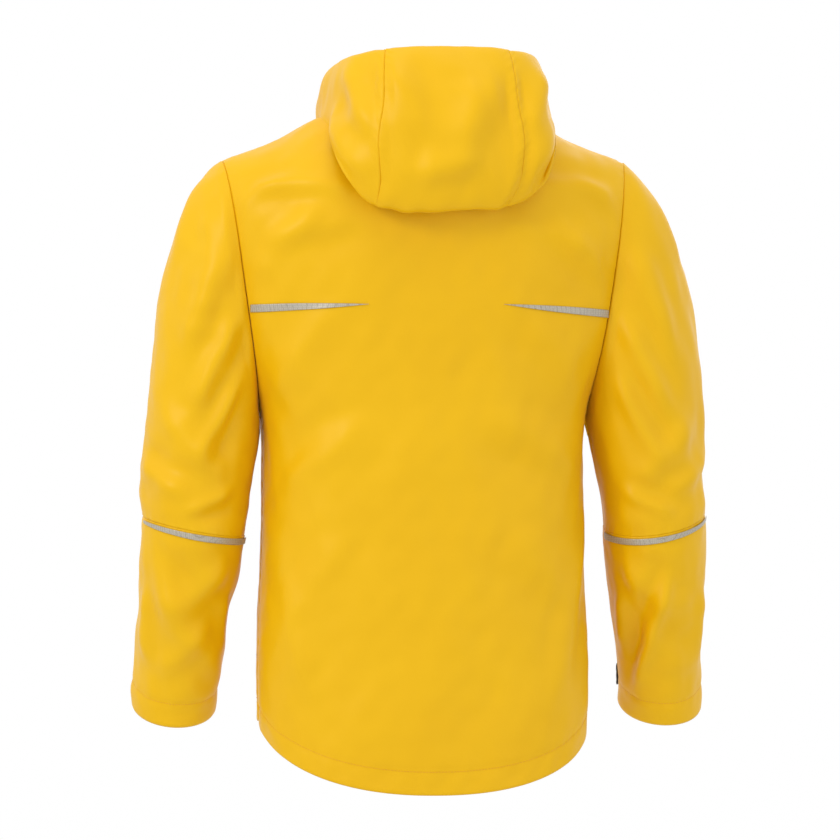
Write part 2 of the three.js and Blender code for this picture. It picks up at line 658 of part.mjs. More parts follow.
const ZIP_Y = -(FRONT_DEPTH + SEAM_GAP);
const ZIP_BOTTOM_Z = SIDE_HEM_Z + 12;
const ZIP_TOP_Z = FRONT_NECK_Z + COLLAR_HEIGHT - 4;
const SLIDER_HEIGHT = 16;
const SLIDER_TOP_Z = ZIP_TOP_Z - 3;
const SLIDER_CLEARANCE = 0.5;
const SLIDER_PLATE = 1.4;
const BRIDGE_HALF_WIDTH = 1.6;
const BRIDGE_REACH = 2.6;           // bridge in front of the slider's front plate
const BRIDGE_LOW = 0.3;             // its ends, as shares of the slider's height
const BRIDGE_HIGH = 0.7;
const PULL_GAP = 0.8;
const PULL_THICKNESS = 1.5;
const PULL_EYE_HALF_WIDTH = 2.1;
const PULL_BAR_HALF_HEIGHT = 0.8;

/** One side of the main zip: its tape and its row of teeth. */
function addMainZipSide(hand, label) {
  const tapeInner = hand * ZIP_BEAD_GAP;
  const tapeOuter = hand * (ZIP_BEAD_GAP + ZIP_TAPE_WIDTH);
  const beadOuter = hand * (ZIP_BEAD_GAP + ZIP_BEAD_WIDTH);
  const strip = (edge, y0, y1) => boxBetween(
    [Math.min(tapeInner, edge), y0, ZIP_BOTTOM_Z],
    [Math.max(tapeInner, edge), y1, ZIP_TOP_Z],
  );
  const tape = strip(tapeOuter, ZIP_Y - 0.5, ZIP_Y + 0.5);
  const bead = strip(beadOuter, ZIP_Y - ZIP_THICKNESS / 2, ZIP_Y + ZIP_THICKNESS / 2);
  addPart(`main_zip_${label}`, joined(tape, bead), DARK_GREY);
}

/** Zip slider: a front and a back plate joined by the wedge between the two rows of teeth. */
function sliderShape({ width, beadGap, thickness, height, topZ, y }) {
  const half = width / 2;
  const inner = thickness / 2 + SLIDER_CLEARANCE;
  const bottom = topZ - height;
  const outer = inner + SLIDER_PLATE;
  const middle = inner + SLIDER_PLATE / 2;
  const front = boxBetween([-half, y - outer, bottom], [half, y - inner, topZ]);
  const back = boxBetween([-half, y + inner, bottom], [half, y + outer, topZ]);
  const wedge = beadGap - SLIDER_CLEARANCE;
  const web = boxBetween([-wedge, y - middle, bottom + 2], [wedge, y + middle, topZ]);
  const bridge = boxBetween(
    [-BRIDGE_HALF_WIDTH, y - outer - BRIDGE_REACH, bottom + BRIDGE_LOW * height],
    [BRIDGE_HALF_WIDTH, y - middle, bottom + BRIDGE_HIGH * height],
  );
  return [front, back, web, bridge];
}

/** Pull: a fork round the slider's bridge with a tab hanging from it. */
function pullShape({ thickness, height, topZ, y, length, width }) {
  const plateFront = y - thickness / 2 - SLIDER_CLEARANCE - SLIDER_PLATE;
  const bottom = topZ - height;
  const pivotZ = bottom + BRIDGE_HIGH * height + 1.2;
  const back = plateFront - PULL_GAP;
  const front = back - PULL_THICKNESS;
  const legOuter = width / 2;
  const barTop = pivotZ + PULL_BAR_HALF_HEIGHT;
  const legs = [-1, 1].map((hand) => boxBetween(
    [hand < 0 ? -legOuter : PULL_EYE_HALF_WIDTH, front, bottom - 2],
    [hand < 0 ? -PULL_EYE_HALF_WIDTH : legOuter, back, barTop],
  ));
  const top = boxBetween([-legOuter, front, pivotZ - PULL_BAR_HALF_HEIGHT], [legOuter, back, barTop]);
  const tab = boxBetween([-legOuter, front, bottom - 2 - length], [legOuter, back, bottom - 1.5]);
  return [...legs, top, tab];
}

const MAIN_SLIDER = {
  width: 2 * (ZIP_BEAD_GAP + ZIP_BEAD_WIDTH) + 1, beadGap: ZIP_BEAD_GAP, thickness: ZIP_THICKNESS,
  height: SLIDER_HEIGHT, topZ: SLIDER_TOP_Z, y: ZIP_Y,
};

function addMainZip() {
  addMainZipSide(1, 'left');
  addMainZipSide(-1, 'right');
  addPart('main_zip_slider', joined(...sliderShape(MAIN_SLIDER)), METAL);
  addPart('main_zip_pull', joined(...pullShape({ ...MAIN_SLIDER, length: 30, width: 9 })), DARK_GREY);
  const reach = ZIP_BEAD_GAP + ZIP_BEAD_WIDTH;
  const retainerTop = ZIP_BOTTOM_Z - SEAM_GAP;
  const retainerHeight = 9;
  addPart('main_zip_retainer', boxBetween(
    [-reach, ZIP_Y - ZIP_THICKNESS / 2, retainerTop - retainerHeight],
    [reach, ZIP_Y + ZIP_THICKNESS / 2, retainerTop],
  ), DARK_GREY);
}

/** Soft guard behind the whole length of the main zip, and the chin guard at its top. */
function addZipGuards() {
  const guardY = ZIP_Y + ZIP_THICKNESS / 2 + SLIDER_CLEARANCE + SLIDER_PLATE + 1.2;
  const collarTop = FRONT_NECK_Z + COLLAR_HEIGHT;
  const guardHalfWidth = 22;
  const chinHalfWidth = 14;
  const chinBottom = collarTop - 21;
  addPart('inner_zip_guard', boxBetween(
    [-guardHalfWidth, guardY, SIDE_HEM_Z + 6],
    [guardHalfWidth, guardY + SHELL_THICKNESS, chinBottom - 1],
  ), YELLOW);
  addPart('chin_guard', boxBetween(
    [-chinHalfWidth, guardY, chinBottom],
    [chinHalfWidth, guardY + SHELL_THICKNESS, collarTop - 1],
  ), TRICOT);
}

const POCKET_Y = Math.min(
  bodyY(POCKET_X, POCKET_BOTTOM_Z, -1),
  bodyY(POCKET_X, POCKET_BOTTOM_Z + POCKET_LENGTH, -1),
);
const POCKET_NORMAL_ANGLE = pocketTurn();

/** How far the cloth at the hand pocket faces away from straight ahead. */
function pocketTurn() {
  const middle = POCKET_BOTTOM_Z + POCKET_LENGTH / 2;
  const run = bodyY(POCKET_X + 8, middle, -1) - bodyY(POCKET_X - 8, middle, -1);
  return Math.atan2(run, 16);
}

const POCKET_STAND = 4.2;           // zip's middle in front of the cloth
const POCKET_BEAD_GAP = 1.2;
const POCKET_BEAD_WIDTH = 2;
const POCKET_SLIDER = {
  width: 8, beadGap: POCKET_BEAD_GAP, thickness: 2.2, height: 11,
  topZ: POCKET_BOTTOM_Z + POCKET_LENGTH - 6, y: -POCKET_STAND,
};

/** Places a piece drawn at a pocket's own middle line onto that pocket. */
function atPocket(mesh, hand) {
  mesh.position.set(hand * POCKET_X, POCKET_Y, 0);
  mesh.rotation.z = hand * POCKET_NORMAL_ANGLE;
}

/** One hand pocket: its zip, slider, pull and bag. */
function addPocket(hand, label) {
  const top = POCKET_BOTTOM_Z + POCKET_LENGTH;
  const half = POCKET_ZIP_HALF_WIDTH;
  const y = -POCKET_STAND;
  const onSide = (side, inner, outer, deep, bottom, high) => boxBetween(
    [side < 0 ? -outer : inner, y - deep, bottom],
    [side < 0 ? -inner : outer, y + deep, high],
  );
  const tape = (side) => onSide(side, POCKET_BEAD_GAP, half, 0.4, POCKET_BOTTOM_Z, top);
  const beadOuter = POCKET_BEAD_GAP + POCKET_BEAD_WIDTH;
  const bead = (side) => onSide(side, POCKET_BEAD_GAP, beadOuter, 1.1, POCKET_BOTTOM_Z + 2, top - 2);
  const end = (z) => boxBetween([-half, y - 0.8, z - 4], [half, y + 0.4, z]);
  const zip = joined(tape(-1), tape(1), bead(-1), bead(1), end(top), end(POCKET_BOTTOM_Z + 4));
  atPocket(addPart(`pocket_zip_${label}`, zip, DARK_GREY), hand);
  atPocket(addPart(`pocket_slider_${label}`, joined(...sliderShape(POCKET_SLIDER)), METAL), hand);
  const pull = pullShape({ ...POCKET_SLIDER, length: 22, width: 7 });
  atPocket(addPart(`pocket_pull_${label}`, joined(...pull), DARK_GREY), hand);
  addPocketBag(hand, label);
}

/** Flat pocket bag between the shell and the lining. */
function addPocketBag(hand, label) {
  const columns = 4;
  const point = (i, j) => {
    const x = POCKET_X + POCKET_BAG_WIDTH * (i / columns - POCKET_BAG_INWARDS);
    const z = lerp(POCKET_BOTTOM_Z - POCKET_BAG_DROP, POCKET_BOTTOM_Z + POCKET_LENGTH, j / 2);
    return new THREE.Vector3(hand * x, bodyY(x, z, -1), z);
  };
  addPart(`pocket_bag_${label}`, sheetSolid({
    point, columns, rows: 2, thickness: 2, depth: SHELL_THICKNESS + 1.2, flip: hand < 0,
  }), LINING);
}

/** A small ring eyelet, its axis along Y before it is turned. */
function eyeletGeometry(hole, rim, height) {
  const crown = [lerp(hole, rim, 0.5), height];
  const points = [[hole, 0], [rim, 0], [rim, height * 0.6], crown, [hole, height * 0.8]];
  const profile = [...points, points[0]].map(([radius, z]) => new THREE.Vector2(radius, z));
  return new THREE.LatheGeometry(profile, 12);
}

/** Eyelets of the hem channel, where its drawcord would come out, one at each side of the front. */
function addHemEyelet(hand, label) {
  const x = EYELET_X;
  const z = SIDE_HEM_Z + EYELET_RISE;
  const geometry = fromManifold(toManifold(eyeletGeometry(2.4, 5, 1.6)));
  const mesh = addPart(`hem_eyelet_${label}`, geometry, METAL);
  const y = bodyY(x, z, -1);
  const slope = Math.atan2(bodyY(x + 5, z, -1) - bodyY(x - 5, z, -1), 10);
  mesh.position.set(hand * (x + LAYER_GAP * Math.sin(slope)), y - LAYER_GAP * Math.cos(slope), z);
  mesh.rotation.set(Math.PI, 0, hand * slope, 'ZXY');
}

/** Webbing hanging loop at the nape, bowed away from the collar so that a hook passes through. */
function addHangLoop() {
  const columns = 12;
  const backY = bodyY(LOOP_HALF_SPAN + 6, NECK_POINT_Z, 1) - SHELL_THICKNESS - 6;
  const bowed = (i, j) => {
    const share = 2 * i / columns - 1;
    const y = backY - LOOP_BOW * (1 - share ** 4);
    return new THREE.Vector3(share * LOOP_HALF_SPAN, y, LOOP_Z - LOOP_WIDTH / 2 + LOOP_WIDTH * j);
  };
  addPart('hang_loop', sheetSolid({
    point: bowed, columns, rows: 1, thickness: LOOP_THICKNESS,
  }), DARK_GREY);
  const patch = boxBetween(
    [-LOOP_HALF_SPAN - 5, backY + 2.2, LOOP_Z - 14],
    [LOOP_HALF_SPAN + 5, backY + 3.4, LOOP_Z + 8],
  );
  addPart('neck_patch', patch, TRICOT);
  return backY - LOOP_BOW;
}

// ---------------------------------------------------------------- assembly
addBack();
for (const [hand, label] of [[1, 'left'], [-1, 'right']]) {
  addFront(hand, label);
  addHemFacing(`hem_facing_${label}`, { side: -1, from: 0.02, to: 0.97, columns: 8, hand });
  addSleeve(hand, label);
  addBackStrip(hand, label);
  addPocket(hand, label);
  addHemEyelet(hand, label);
}
addHemFacing('hem_facing_back', { side: 1, from: -0.97, to: 0.97, columns: 16, hand: 0 });
addCollar();
addHood();
addHoodNeckBand();
addMainZip();
addZipGuards();
const loopFrontY = addHangLoop();

garment.position.set(0, -loopFrontY, -LOOP_Z);
const jacket = new THREE.Group();
jacket.add(garment);

export default jacket;
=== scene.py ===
"""Foul weather jacket: the cloth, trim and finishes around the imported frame.

Sizes are in metres. The garment is drawn in its own layout, with z = 0 at the lowest point of
the back tail and y = 0 at the side seams, and every mesh is then moved to the frame's origin.
"""
import logging
import math
from dataclasses import dataclass, field
from enum import Enum
from typing import Callable, Sequence

import bpy
import numpy as np
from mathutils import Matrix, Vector
from mathutils.bvhtree import BVHTree


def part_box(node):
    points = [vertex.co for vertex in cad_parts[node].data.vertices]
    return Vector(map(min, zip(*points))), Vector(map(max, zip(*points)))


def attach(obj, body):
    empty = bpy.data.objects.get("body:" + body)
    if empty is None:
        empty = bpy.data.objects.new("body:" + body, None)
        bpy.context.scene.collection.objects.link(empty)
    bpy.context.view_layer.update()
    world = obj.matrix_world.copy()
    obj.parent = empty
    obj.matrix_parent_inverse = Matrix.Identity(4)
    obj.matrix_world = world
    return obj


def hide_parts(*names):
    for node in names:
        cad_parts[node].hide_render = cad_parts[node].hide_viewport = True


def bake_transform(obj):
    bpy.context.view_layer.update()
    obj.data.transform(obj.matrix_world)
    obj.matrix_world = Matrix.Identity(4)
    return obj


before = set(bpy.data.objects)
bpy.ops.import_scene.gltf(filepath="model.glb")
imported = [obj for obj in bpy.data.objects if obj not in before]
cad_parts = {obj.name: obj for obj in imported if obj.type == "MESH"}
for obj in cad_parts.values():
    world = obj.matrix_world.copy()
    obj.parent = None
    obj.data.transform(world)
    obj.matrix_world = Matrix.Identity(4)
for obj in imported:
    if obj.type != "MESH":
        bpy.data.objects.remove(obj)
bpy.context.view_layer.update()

LOG = logging.getLogger("jacket")
Points = np.ndarray
SHELL, HOOD = "shell", "hood"
FULLNESS = 1.7                        # how strong the folds are, over their first sizes
ZIP_EDGE = 0.0150                     # from the centre line to the fronts' inner edges
POCKET_X = 0.118                      # from the centre line to the pocket zips
LEAST_FLAT = 0.0102                   # the least flat side that a sheet's logged size may show
LEAST_AREA = 0.301                    # and the least share of its width times length
BAND_SCALE = 0.157                    # the wave texture's scale for a band of one metre


class Hand(Enum):
    """The two sides of the garment, with the sign of X on each."""

    LEFT = 1
    RIGHT = -1

    @property
    def word(self) -> str:
        """Returns the side's name as the frame's nodes spell it."""
        return self.name.lower()


# ------------------------------------------------------------------ mathematics
def smooth(value: Points | float) -> Points | float:
    """Returns a smooth step from 0 to 1 for a value that runs from 0 to 1."""
    t = np.clip(value, 0.0, 1.0)
    return t * t * (3 - 2 * t)


def mix(a: Points | float, b: Points | float, t: Points | float) -> Points | float:
    """Returns the value that lies the share t of the way from a to b."""
    return a + (b - a) * t


def unit(vectors: Points) -> Points:
    """Returns the vectors scaled to length one."""
    return vectors / np.maximum(np.linalg.norm(vectors, axis=-1, keepdims=True), 1e-12)


def hermite(a: Points, b: Points, slope_a: Points, slope_b: Points, reach: Points, t: Points) -> Points:
    """Returns points of the cubic from a to b with slopes per length, reach being its length."""
    return ((1 + 2 * t) * (1 - t) ** 2 * a + t * (1 - t) ** 2 * reach * slope_a
            + t * t * (3 - 2 * t) * b + t * t * (t - 1) * reach * slope_b)


def through(stations: Sequence[tuple[float, float]], at: Points | float) -> Points:
    """Runs a smooth curve through stations.

    Args:
        stations: pairs of position and value, positions rising.
        at: the positions to read.

    Returns:
        The curve's values, held level beyond its ends.
    """
    x, y = np.array(stations, float).T
    slope = np.gradient(y, x)
    p = np.clip(np.asarray(at, float), x[0], x[-1])
    i = np.clip(np.searchsorted(x, p, side="right") - 1, 0, len(x) - 2)
    h = x[i + 1] - x[i]
    return hermite(y[i], y[i + 1], slope[i], slope[i + 1], h, (p - x[i]) / h)


def run_length(points: Points, axis: int = 0) -> Points:
    """Returns the distance run along an axis of a line or grid of points, at each of them."""
    steps = np.linalg.norm(np.diff(points, axis=axis), axis=-1)
    return np.insert(np.cumsum(steps, axis), 0, 0.0, axis)


def spaced(count: int, edges: tuple[bool, bool] = (True, True), fine: float = 0.012) -> Points:
    """Returns parameters from 0 to 1 with extra ones close to the chosen ends.

    Args:
        count: how many even steps there are.
        edges: whether the low end and the high end get extra values.
        fine: the share of the width that the extra values take.

    Returns:
        The rising parameters.
    """
    even = np.linspace(0, 1, count + 1)
    near = np.array([0.25, 0.5, 0.75]) * fine
    values = [even[(even < 1e-9) | (even > fine)]]
    values += [near] if edges[0] else []
    values += [1 - near] if edges[1] else []
    return np.unique(np.concatenate(values))


def both_ways(count: int) -> Points:
    """Returns parameters from -1 to 1 with count steps on each side, finer close to the ends."""
    half = spaced(count, (False, True))
    return np.concatenate([-half[::-1], half[1:]])


# ------------------------------------------------------------------ finishes
def linear_colour(colour: str) -> tuple[float, float, float, float]:
    """Returns an sRGB hex colour as linear red, green, blue and alpha."""
    parts = [int(colour[i:i + 2], 16) / 255 for i in (1, 3, 5)]
    red, green, blue = (p / 12.92 if p <= 0.04045 else ((p + 0.055) / 1.055) ** 2.4 for p in parts)
    return red, green, blue, 1.0


def scaled_colour(colour: str, share: float) -> tuple[float, ...]:
    """Returns an sRGB hex colour as a linear one, lighter or darker by a share."""
    return tuple(min(1.0, share * c) for c in linear_colour(colour)[:3]) + (1.0,)


class NodeTree:
    """A node tree, filled one node at a time."""

    def __init__(self, tree: bpy.types.NodeTree) -> None:
        """Takes the tree to fill."""
        self.tree = tree

    def put(self, node: bpy.types.Node, **inputs: object) -> bpy.types.Node:
        """Sets or links sockets of a node: underscores for spaces, or i and the socket's number."""
        for key, value in inputs.items():
            socket = node.inputs[int(key[1:]) if key[1:].isdigit() else key.replace("_", " ")]
            if isinstance(value, bpy.types.NodeSocket):
                self.tree.links.new(value, socket)
            else:
                socket.default_value = value
        return node

    def add(self, kind: str, settings: dict | None = None, **inputs: object) -> bpy.types.Node:
        """Adds a node.

        Args:
            kind: the node's type name without its ShaderNode start.
            settings: node properties to set.
            **inputs: values or output sockets for the input sockets, as put takes them.

        Returns:
            The new node.
        """
        node = self.tree.nodes.new("ShaderNode" + kind)
        for key, value in (settings or {}).items():
            setattr(node, key, value)
        return self.put(node, **inputs)


class NodeSheet(NodeTree):
    """A new material, with the steps that several finishes share."""

    def __init__(self, name: str) -> None:
        """Starts a plain material of the given name."""
        self.material = bpy.data.materials.new(name)
        self.material.use_nodes = True
        super().__init__(self.material.node_tree)
        self.place = self.add("TexCoord").outputs["Object"]

    def noise(self, scale: float, **inputs: object) -> bpy.types.NodeSocket:
        """Returns a cloudy noise."""
        return self.add("TexNoise", Vector=self.place, Scale=scale, **inputs).outputs["Fac"]

    def weave(self, thread: float, distortion: float, detail: float) -> bpy.types.NodeSocket:
        """Returns the height of crossed threads of the given width."""
        waves = [self.add("TexWave", {"bands_direction": axis}, Vector=self.place,
                          Scale=BAND_SCALE / thread, Distortion=distortion, Detail=detail)
                 for axis in ("X", "Z")]
        return self.add("Math", {"operation": "MULTIPLY"}, i0=waves[0].outputs["Fac"],
                        i1=waves[1].outputs["Fac"]).outputs[0]

    def tone(self, share: bpy.types.NodeSocket, low: tuple, high: tuple) -> bpy.types.NodeSocket:
        """Returns the colour between low and high at that share."""
        return self.add("Mix", {"data_type": "RGBA"}, i0=share, i6=low, i7=high).outputs[2]

    def bump(self, height: bpy.types.NodeSocket, strength: float, distance: float,
             **inputs: object) -> bpy.types.NodeSocket:
        """Returns the normal over bumps of the given height."""
        return self.add("Bump", Strength=strength, Distance=distance, Height=height,
                        **inputs).outputs[0]

    def spread(self, share: bpy.types.NodeSocket, low: float, high: float) -> bpy.types.NodeSocket:
        """Returns a value that runs from low to high with the share."""
        return self.add("MapRange", Value=share, To_Min=low, To_Max=high).outputs[0]

    def shaded(self, **inputs: object) -> bpy.types.Material:
        """Sets or links the shader's own sockets and returns the material."""
        self.put(self.tree.nodes["Principled BSDF"], **inputs)
        return self.material


@dataclass(frozen=True)
class CoatedCloth:
    """Plain-woven polyester with a satin polyurethane coat: a soft sheen over a barely seen weave."""

    name: str = "polyester, woven and satin coated"
    colour: str = "#E7B500"
    deep: str = "#DFAB00"
    thread: float = 0.0011            # real threads are 0.3 mm; drawn coarser so that they show
    roughness: float = 0.43
    grain: float = 0.05

    def material(self) -> bpy.types.Material:
        """Returns the finished material."""
        sheet = NodeSheet(self.name)
        cloudy = sheet.noise(9.0, Detail=3.0, Roughness=0.55)
        fleck = sheet.noise(420.0, Detail=2.0)
        lines = sheet.bump(sheet.weave(self.thread, 0.6, 1.0), self.grain, 0.0004)
        tone = sheet.tone(cloudy, linear_colour(self.colour), linear_colour(self.deep))
        return sheet.shaded(
            Base_Color=tone, Roughness=sheet.spread(fleck, self.roughness - 0.03, self.roughness + 0.05),
            Normal=sheet.bump(cloudy, 0.10, 0.002, Normal=lines), IOR=1.45, Sheen_Weight=0.03,
            Sheen_Roughness=0.4, Specular_IOR_Level=0.26)


@dataclass(frozen=True)
class Lining:
    """Light grey woven taffeta: matt with a fine grid of threads."""

    name: str = "polyester taffeta, plain woven"
    colour: str = "#C9CED3"
    thread: float = 0.0014            # drawn coarser than the real 0.2 mm so that it shows

    def material(self) -> bpy.types.Material:
        """Returns the finished material."""
        sheet = NodeSheet(self.name)
        weave = sheet.weave(self.thread, 0.8, 2.0)
        tone = sheet.tone(weave, scaled_colour(self.colour, 0.8), linear_colour(self.colour))
        return sheet.shaded(Base_Color=tone, Roughness=0.75, Normal=sheet.bump(weave, 0.2, 0.0003),
                            Sheen_Weight=0.2)


@dataclass(frozen=True)
class ReflectiveTape:
    """Glass-bead reflective tape: silver grey with a fine honeycomb of weld lines."""

    name: str = "reflective tape, glass bead"
    colour: str = "#B9B2A2"
    line: str = "#8F887A"
    cell: float = 0.0022

    def material(self) -> bpy.types.Material:
        """Returns the finished material."""
        sheet = NodeSheet(self.name)
        comb = sheet.add("TexVoronoi", {"feature": "DISTANCE_TO_EDGE"}, Vector=sheet.place,
                         Scale=1 / self.cell, Randomness=0.25)
        edge = sheet.add("MapRange", Value=comb.outputs["Distance"], From_Max=0.12).outputs[0]
        tone = sheet.tone(edge, linear_colour(self.line), linear_colour(self.colour))
        return sheet.shaded(Base_Color=tone, Roughness=0.38, Metallic=0.35,
                            Normal=sheet.bump(edge, 0.25, 0.0003))


@dataclass(frozen=True)
class DarkTrim:
    """Dark trim with a fine surface: moulded rubber, woven tape or pile, by its grain."""

    name: str
    colour: str
    roughness: float
    grain: float                      # size of the surface's bumps in metres
    strength: float = 0.3
    metallic: float = 0.0

    def material(self) -> bpy.types.Material:
        """Returns the finished material."""
        sheet = NodeSheet(self.name)
        fine = sheet.noise(1 / self.grain, Detail=4.0)
        tone = sheet.tone(fine, linear_colour(self.colour), scaled_colour(self.colour, 1.5))
        return sheet.shaded(
            Base_Color=tone, Roughness=sheet.spread(fine, self.roughness - 0.08, self.roughness + 0.08),
            Metallic=self.metallic, Normal=sheet.bump(fine, self.strength, self.grain / 3))


def make_finishes() -> dict[str, bpy.types.Material]:
    """Returns every finish of the jacket by its slot's name, and the thread and the metal."""
    finishes = {"shell_fabric": CoatedCloth(), "lining_fabric": Lining(),
                "reflective_tape": ReflectiveTape(),
                "thread": DarkTrim("polyester thread, twisted", "#C98F10", 0.6, 0.0006),
                "dark_rubber": DarkTrim("thermoplastic rubber, moulded", "#3B3C3F", 0.55, 0.0009, 0.15),
                "webbing": DarkTrim("polyester tape, woven", "#37383B", 0.8, 0.0012, 0.5),
                "hook_and_loop": DarkTrim("nylon hook and loop, woven pile", "#2E2F31", 0.9, 0.0016, 0.9),
                "brushed_tricot": DarkTrim("polyester tricot, brushed", "#55585C", 0.95, 0.0018, 0.5),
                "metal": DarkTrim("zinc alloy, die cast and plated", "#8F9296", 0.32, 0.0007, 0.08, 1.0)}
    made = {slot: finish.material() for slot, finish in finishes.items()}
    made["zip_tape"] = made["webbing"]
    return made


# ------------------------------------------------------------------ the garment's form
@dataclass
class BodyForm:
    """The filled shape of the body, which every panel, strip and seam lies on."""

    hem_half: float = 0.190
    waist_half: float = 0.185
    armpit_half: float = 0.187
    shoulder_half: float = 0.231
    back_depth: float = 0.118
    front_depth: float = 0.125
    roundness: float = 2.4
    side_hem_z: float = 0.081
    waist_z: float = 0.357
    armpit_z: float = 0.430
    tip_z: float = 0.722
    slope: float = 0.338
    back_round: float = 0.110
    front_round: float = 0.085
    neck_half: float = 0.080
    nape_round: float = 0.045
    neck_drop: float = 0.068
    seam: float = 0.0004
    fullness: tuple[float, float] = (0.012, 0.019)    # extra height of the left and right shoulder

    def half_width(self, z: Points) -> Points:
        """Returns the half width of the body's section at heights z."""
        return through([(0, self.hem_half - 0.004), (self.side_hem_z + 0.025, self.hem_half),
                        (self.waist_z, self.waist_half), (self.armpit_z, self.armpit_half),
                        (self.armpit_z + 0.110, self.shoulder_half - 0.004),
                        (self.tip_z, self.shoulder_half + 0.029)], z)

    def armhole_x(self, z: Points) -> Points:
        """Returns how far the armhole seam is from the centre at heights z."""
        middle = mix(self.armpit_half, self.shoulder_half, 0.43)
        return through([(self.armpit_z, self.armpit_half), (self.armpit_z + 0.110, middle),
                        (self.tip_z, self.shoulder_half)], z)

    def shoulder_z(self, x: Points) -> Points:
        """Returns the height of the shoulder line at distances x from the centre."""
        run = np.hypot(self.shoulder_half, self.nape_round) - np.hypot(x, self.nape_round)
        far = np.abs(x)
        fullness = mix(*self.fullness, x < 0) * smooth((far - 0.085) / 0.030)
        fullness = fullness * np.exp(-((far - 0.118) / 0.040) ** 2)
        return self.tip_z + self.slope * run + fullness

    @property
    def neck_z(self) -> float:
        """Returns the height of the neck point on the shoulder seam."""
        return float(self.shoulder_z(self.neck_half))

    @property
    def front_neck_z(self) -> float:
        """Returns the height of the neckline at the centre front."""
        return self.neck_z - self.neck_drop

    def surface_y(self, x: Points, z: Points, side: int) -> Points:
        """Returns the depth of the body's surface, behind (side 1) or before (side -1) the seams."""
        depth = self.back_depth if side > 0 else self.front_depth
        rounding = self.back_round if side > 0 else self.front_round
        across = np.clip(np.abs(x) / self.half_width(z), 0, 1)
        section = (1 - across ** self.roundness) ** (1 / self.roundness)
        below = np.clip((self.shoulder_z(x) - z) / rounding, 0, 1)
        return side * (self.seam + depth * section * np.sqrt(1 - (1 - below) ** 2))

    def hem_z(self, x: Points, side: int) -> Points:
        """Returns the height of the hem; the back drops in a rounded tail."""
        if side < 0:
            return np.full_like(x, self.side_hem_z)
        across = np.clip(np.abs(x) / self.hem_half, 0, 1)
        return self.side_hem_z * (1 - np.sqrt(1 - across ** 2.2))

    def top_z(self, x: Points, side: int) -> Points:
        """Returns the height of a panel's top edge: the neckline, then the shoulder seam."""
        across = np.clip(np.abs(x) / self.neck_half, 0, 1)
        drop = 0.001 * (1 - across ** 2) if side > 0 else self.neck_drop * np.sqrt(1 - across ** 2)
        return np.where(across < 1, self.neck_z - drop, self.shoulder_z(x))

    def panel(self, fan: Points, climb: Points, side: int, centre_x: float = 0.0) -> Points:
        """Places the points of a body panel.

        Args:
            fan: -1 to 1 across the panel, 0 being its centre line.
            climb: 0 at the hem, 1 at the armpit's height, 2 at the shoulder.
            side: 1 for the back and -1 for the front.
            centre_x: distance of the panel's inner edge from the centre line.

        Returns:
            The points, in the garment's layout.
        """
        fan, climb = np.broadcast_arrays(fan, climb)
        above = climb > 1
        rise = (1 - np.cos(np.pi * np.clip(climb - 1, 0, 1))) / 2
        edge_z = np.where(above, mix(self.armpit_z, self.tip_z, rise), 0.0)
        z = np.where(above, edge_z, mix(self.side_hem_z, self.armpit_z, climb))
        x = np.zeros_like(z)
        for _ in range(8):
            width = self.half_width(np.where(above, edge_z, z))
            edge = np.where(above, self.armhole_x(edge_z), width)
            outer = np.arcsin(np.clip(edge / width, 0, 1) ** (self.roundness / 2))
            inner = np.arcsin((centre_x / width) ** (self.roundness / 2))
            angle = mix(inner, outer, np.abs(fan))
            x = width * np.sin(angle) ** (2 / self.roundness)
            z = np.where(above, mix(self.armpit_z, self.top_z(x, side), rise),
                         mix(self.hem_z(x, side), self.armpit_z, np.clip(climb, 0, 1)))
        return np.stack([np.copysign(x, fan), self.surface_y(x, z, side), z], -1)

    def neckline(self, around: Points, inner_x: float) -> Points:
        """Places neckline points; around runs from 0 at the back to 1 at the centre front."""
        back = np.clip(2 * around, 0, 1)
        front = np.clip(2 * around - 1, 0, 1)
        swing = mix(np.pi / 2, math.asin(inner_x / self.neck_half), front)
        turn = mix(np.pi / 2, 0.0, back)
        rear = around < 0.5
        x = self.neck_half * np.where(rear, np.cos(turn), np.sin(swing))
        z = np.where(rear, self.neck_z - 0.001 * np.sin(turn) ** 2,
                     self.front_neck_z + self.neck_drop * (1 - np.cos(swing)))
        y = np.where(rear, self.surface_y(x, z, 1), self.surface_y(x, z, -1))
        return np.stack([x, y, z], -1)


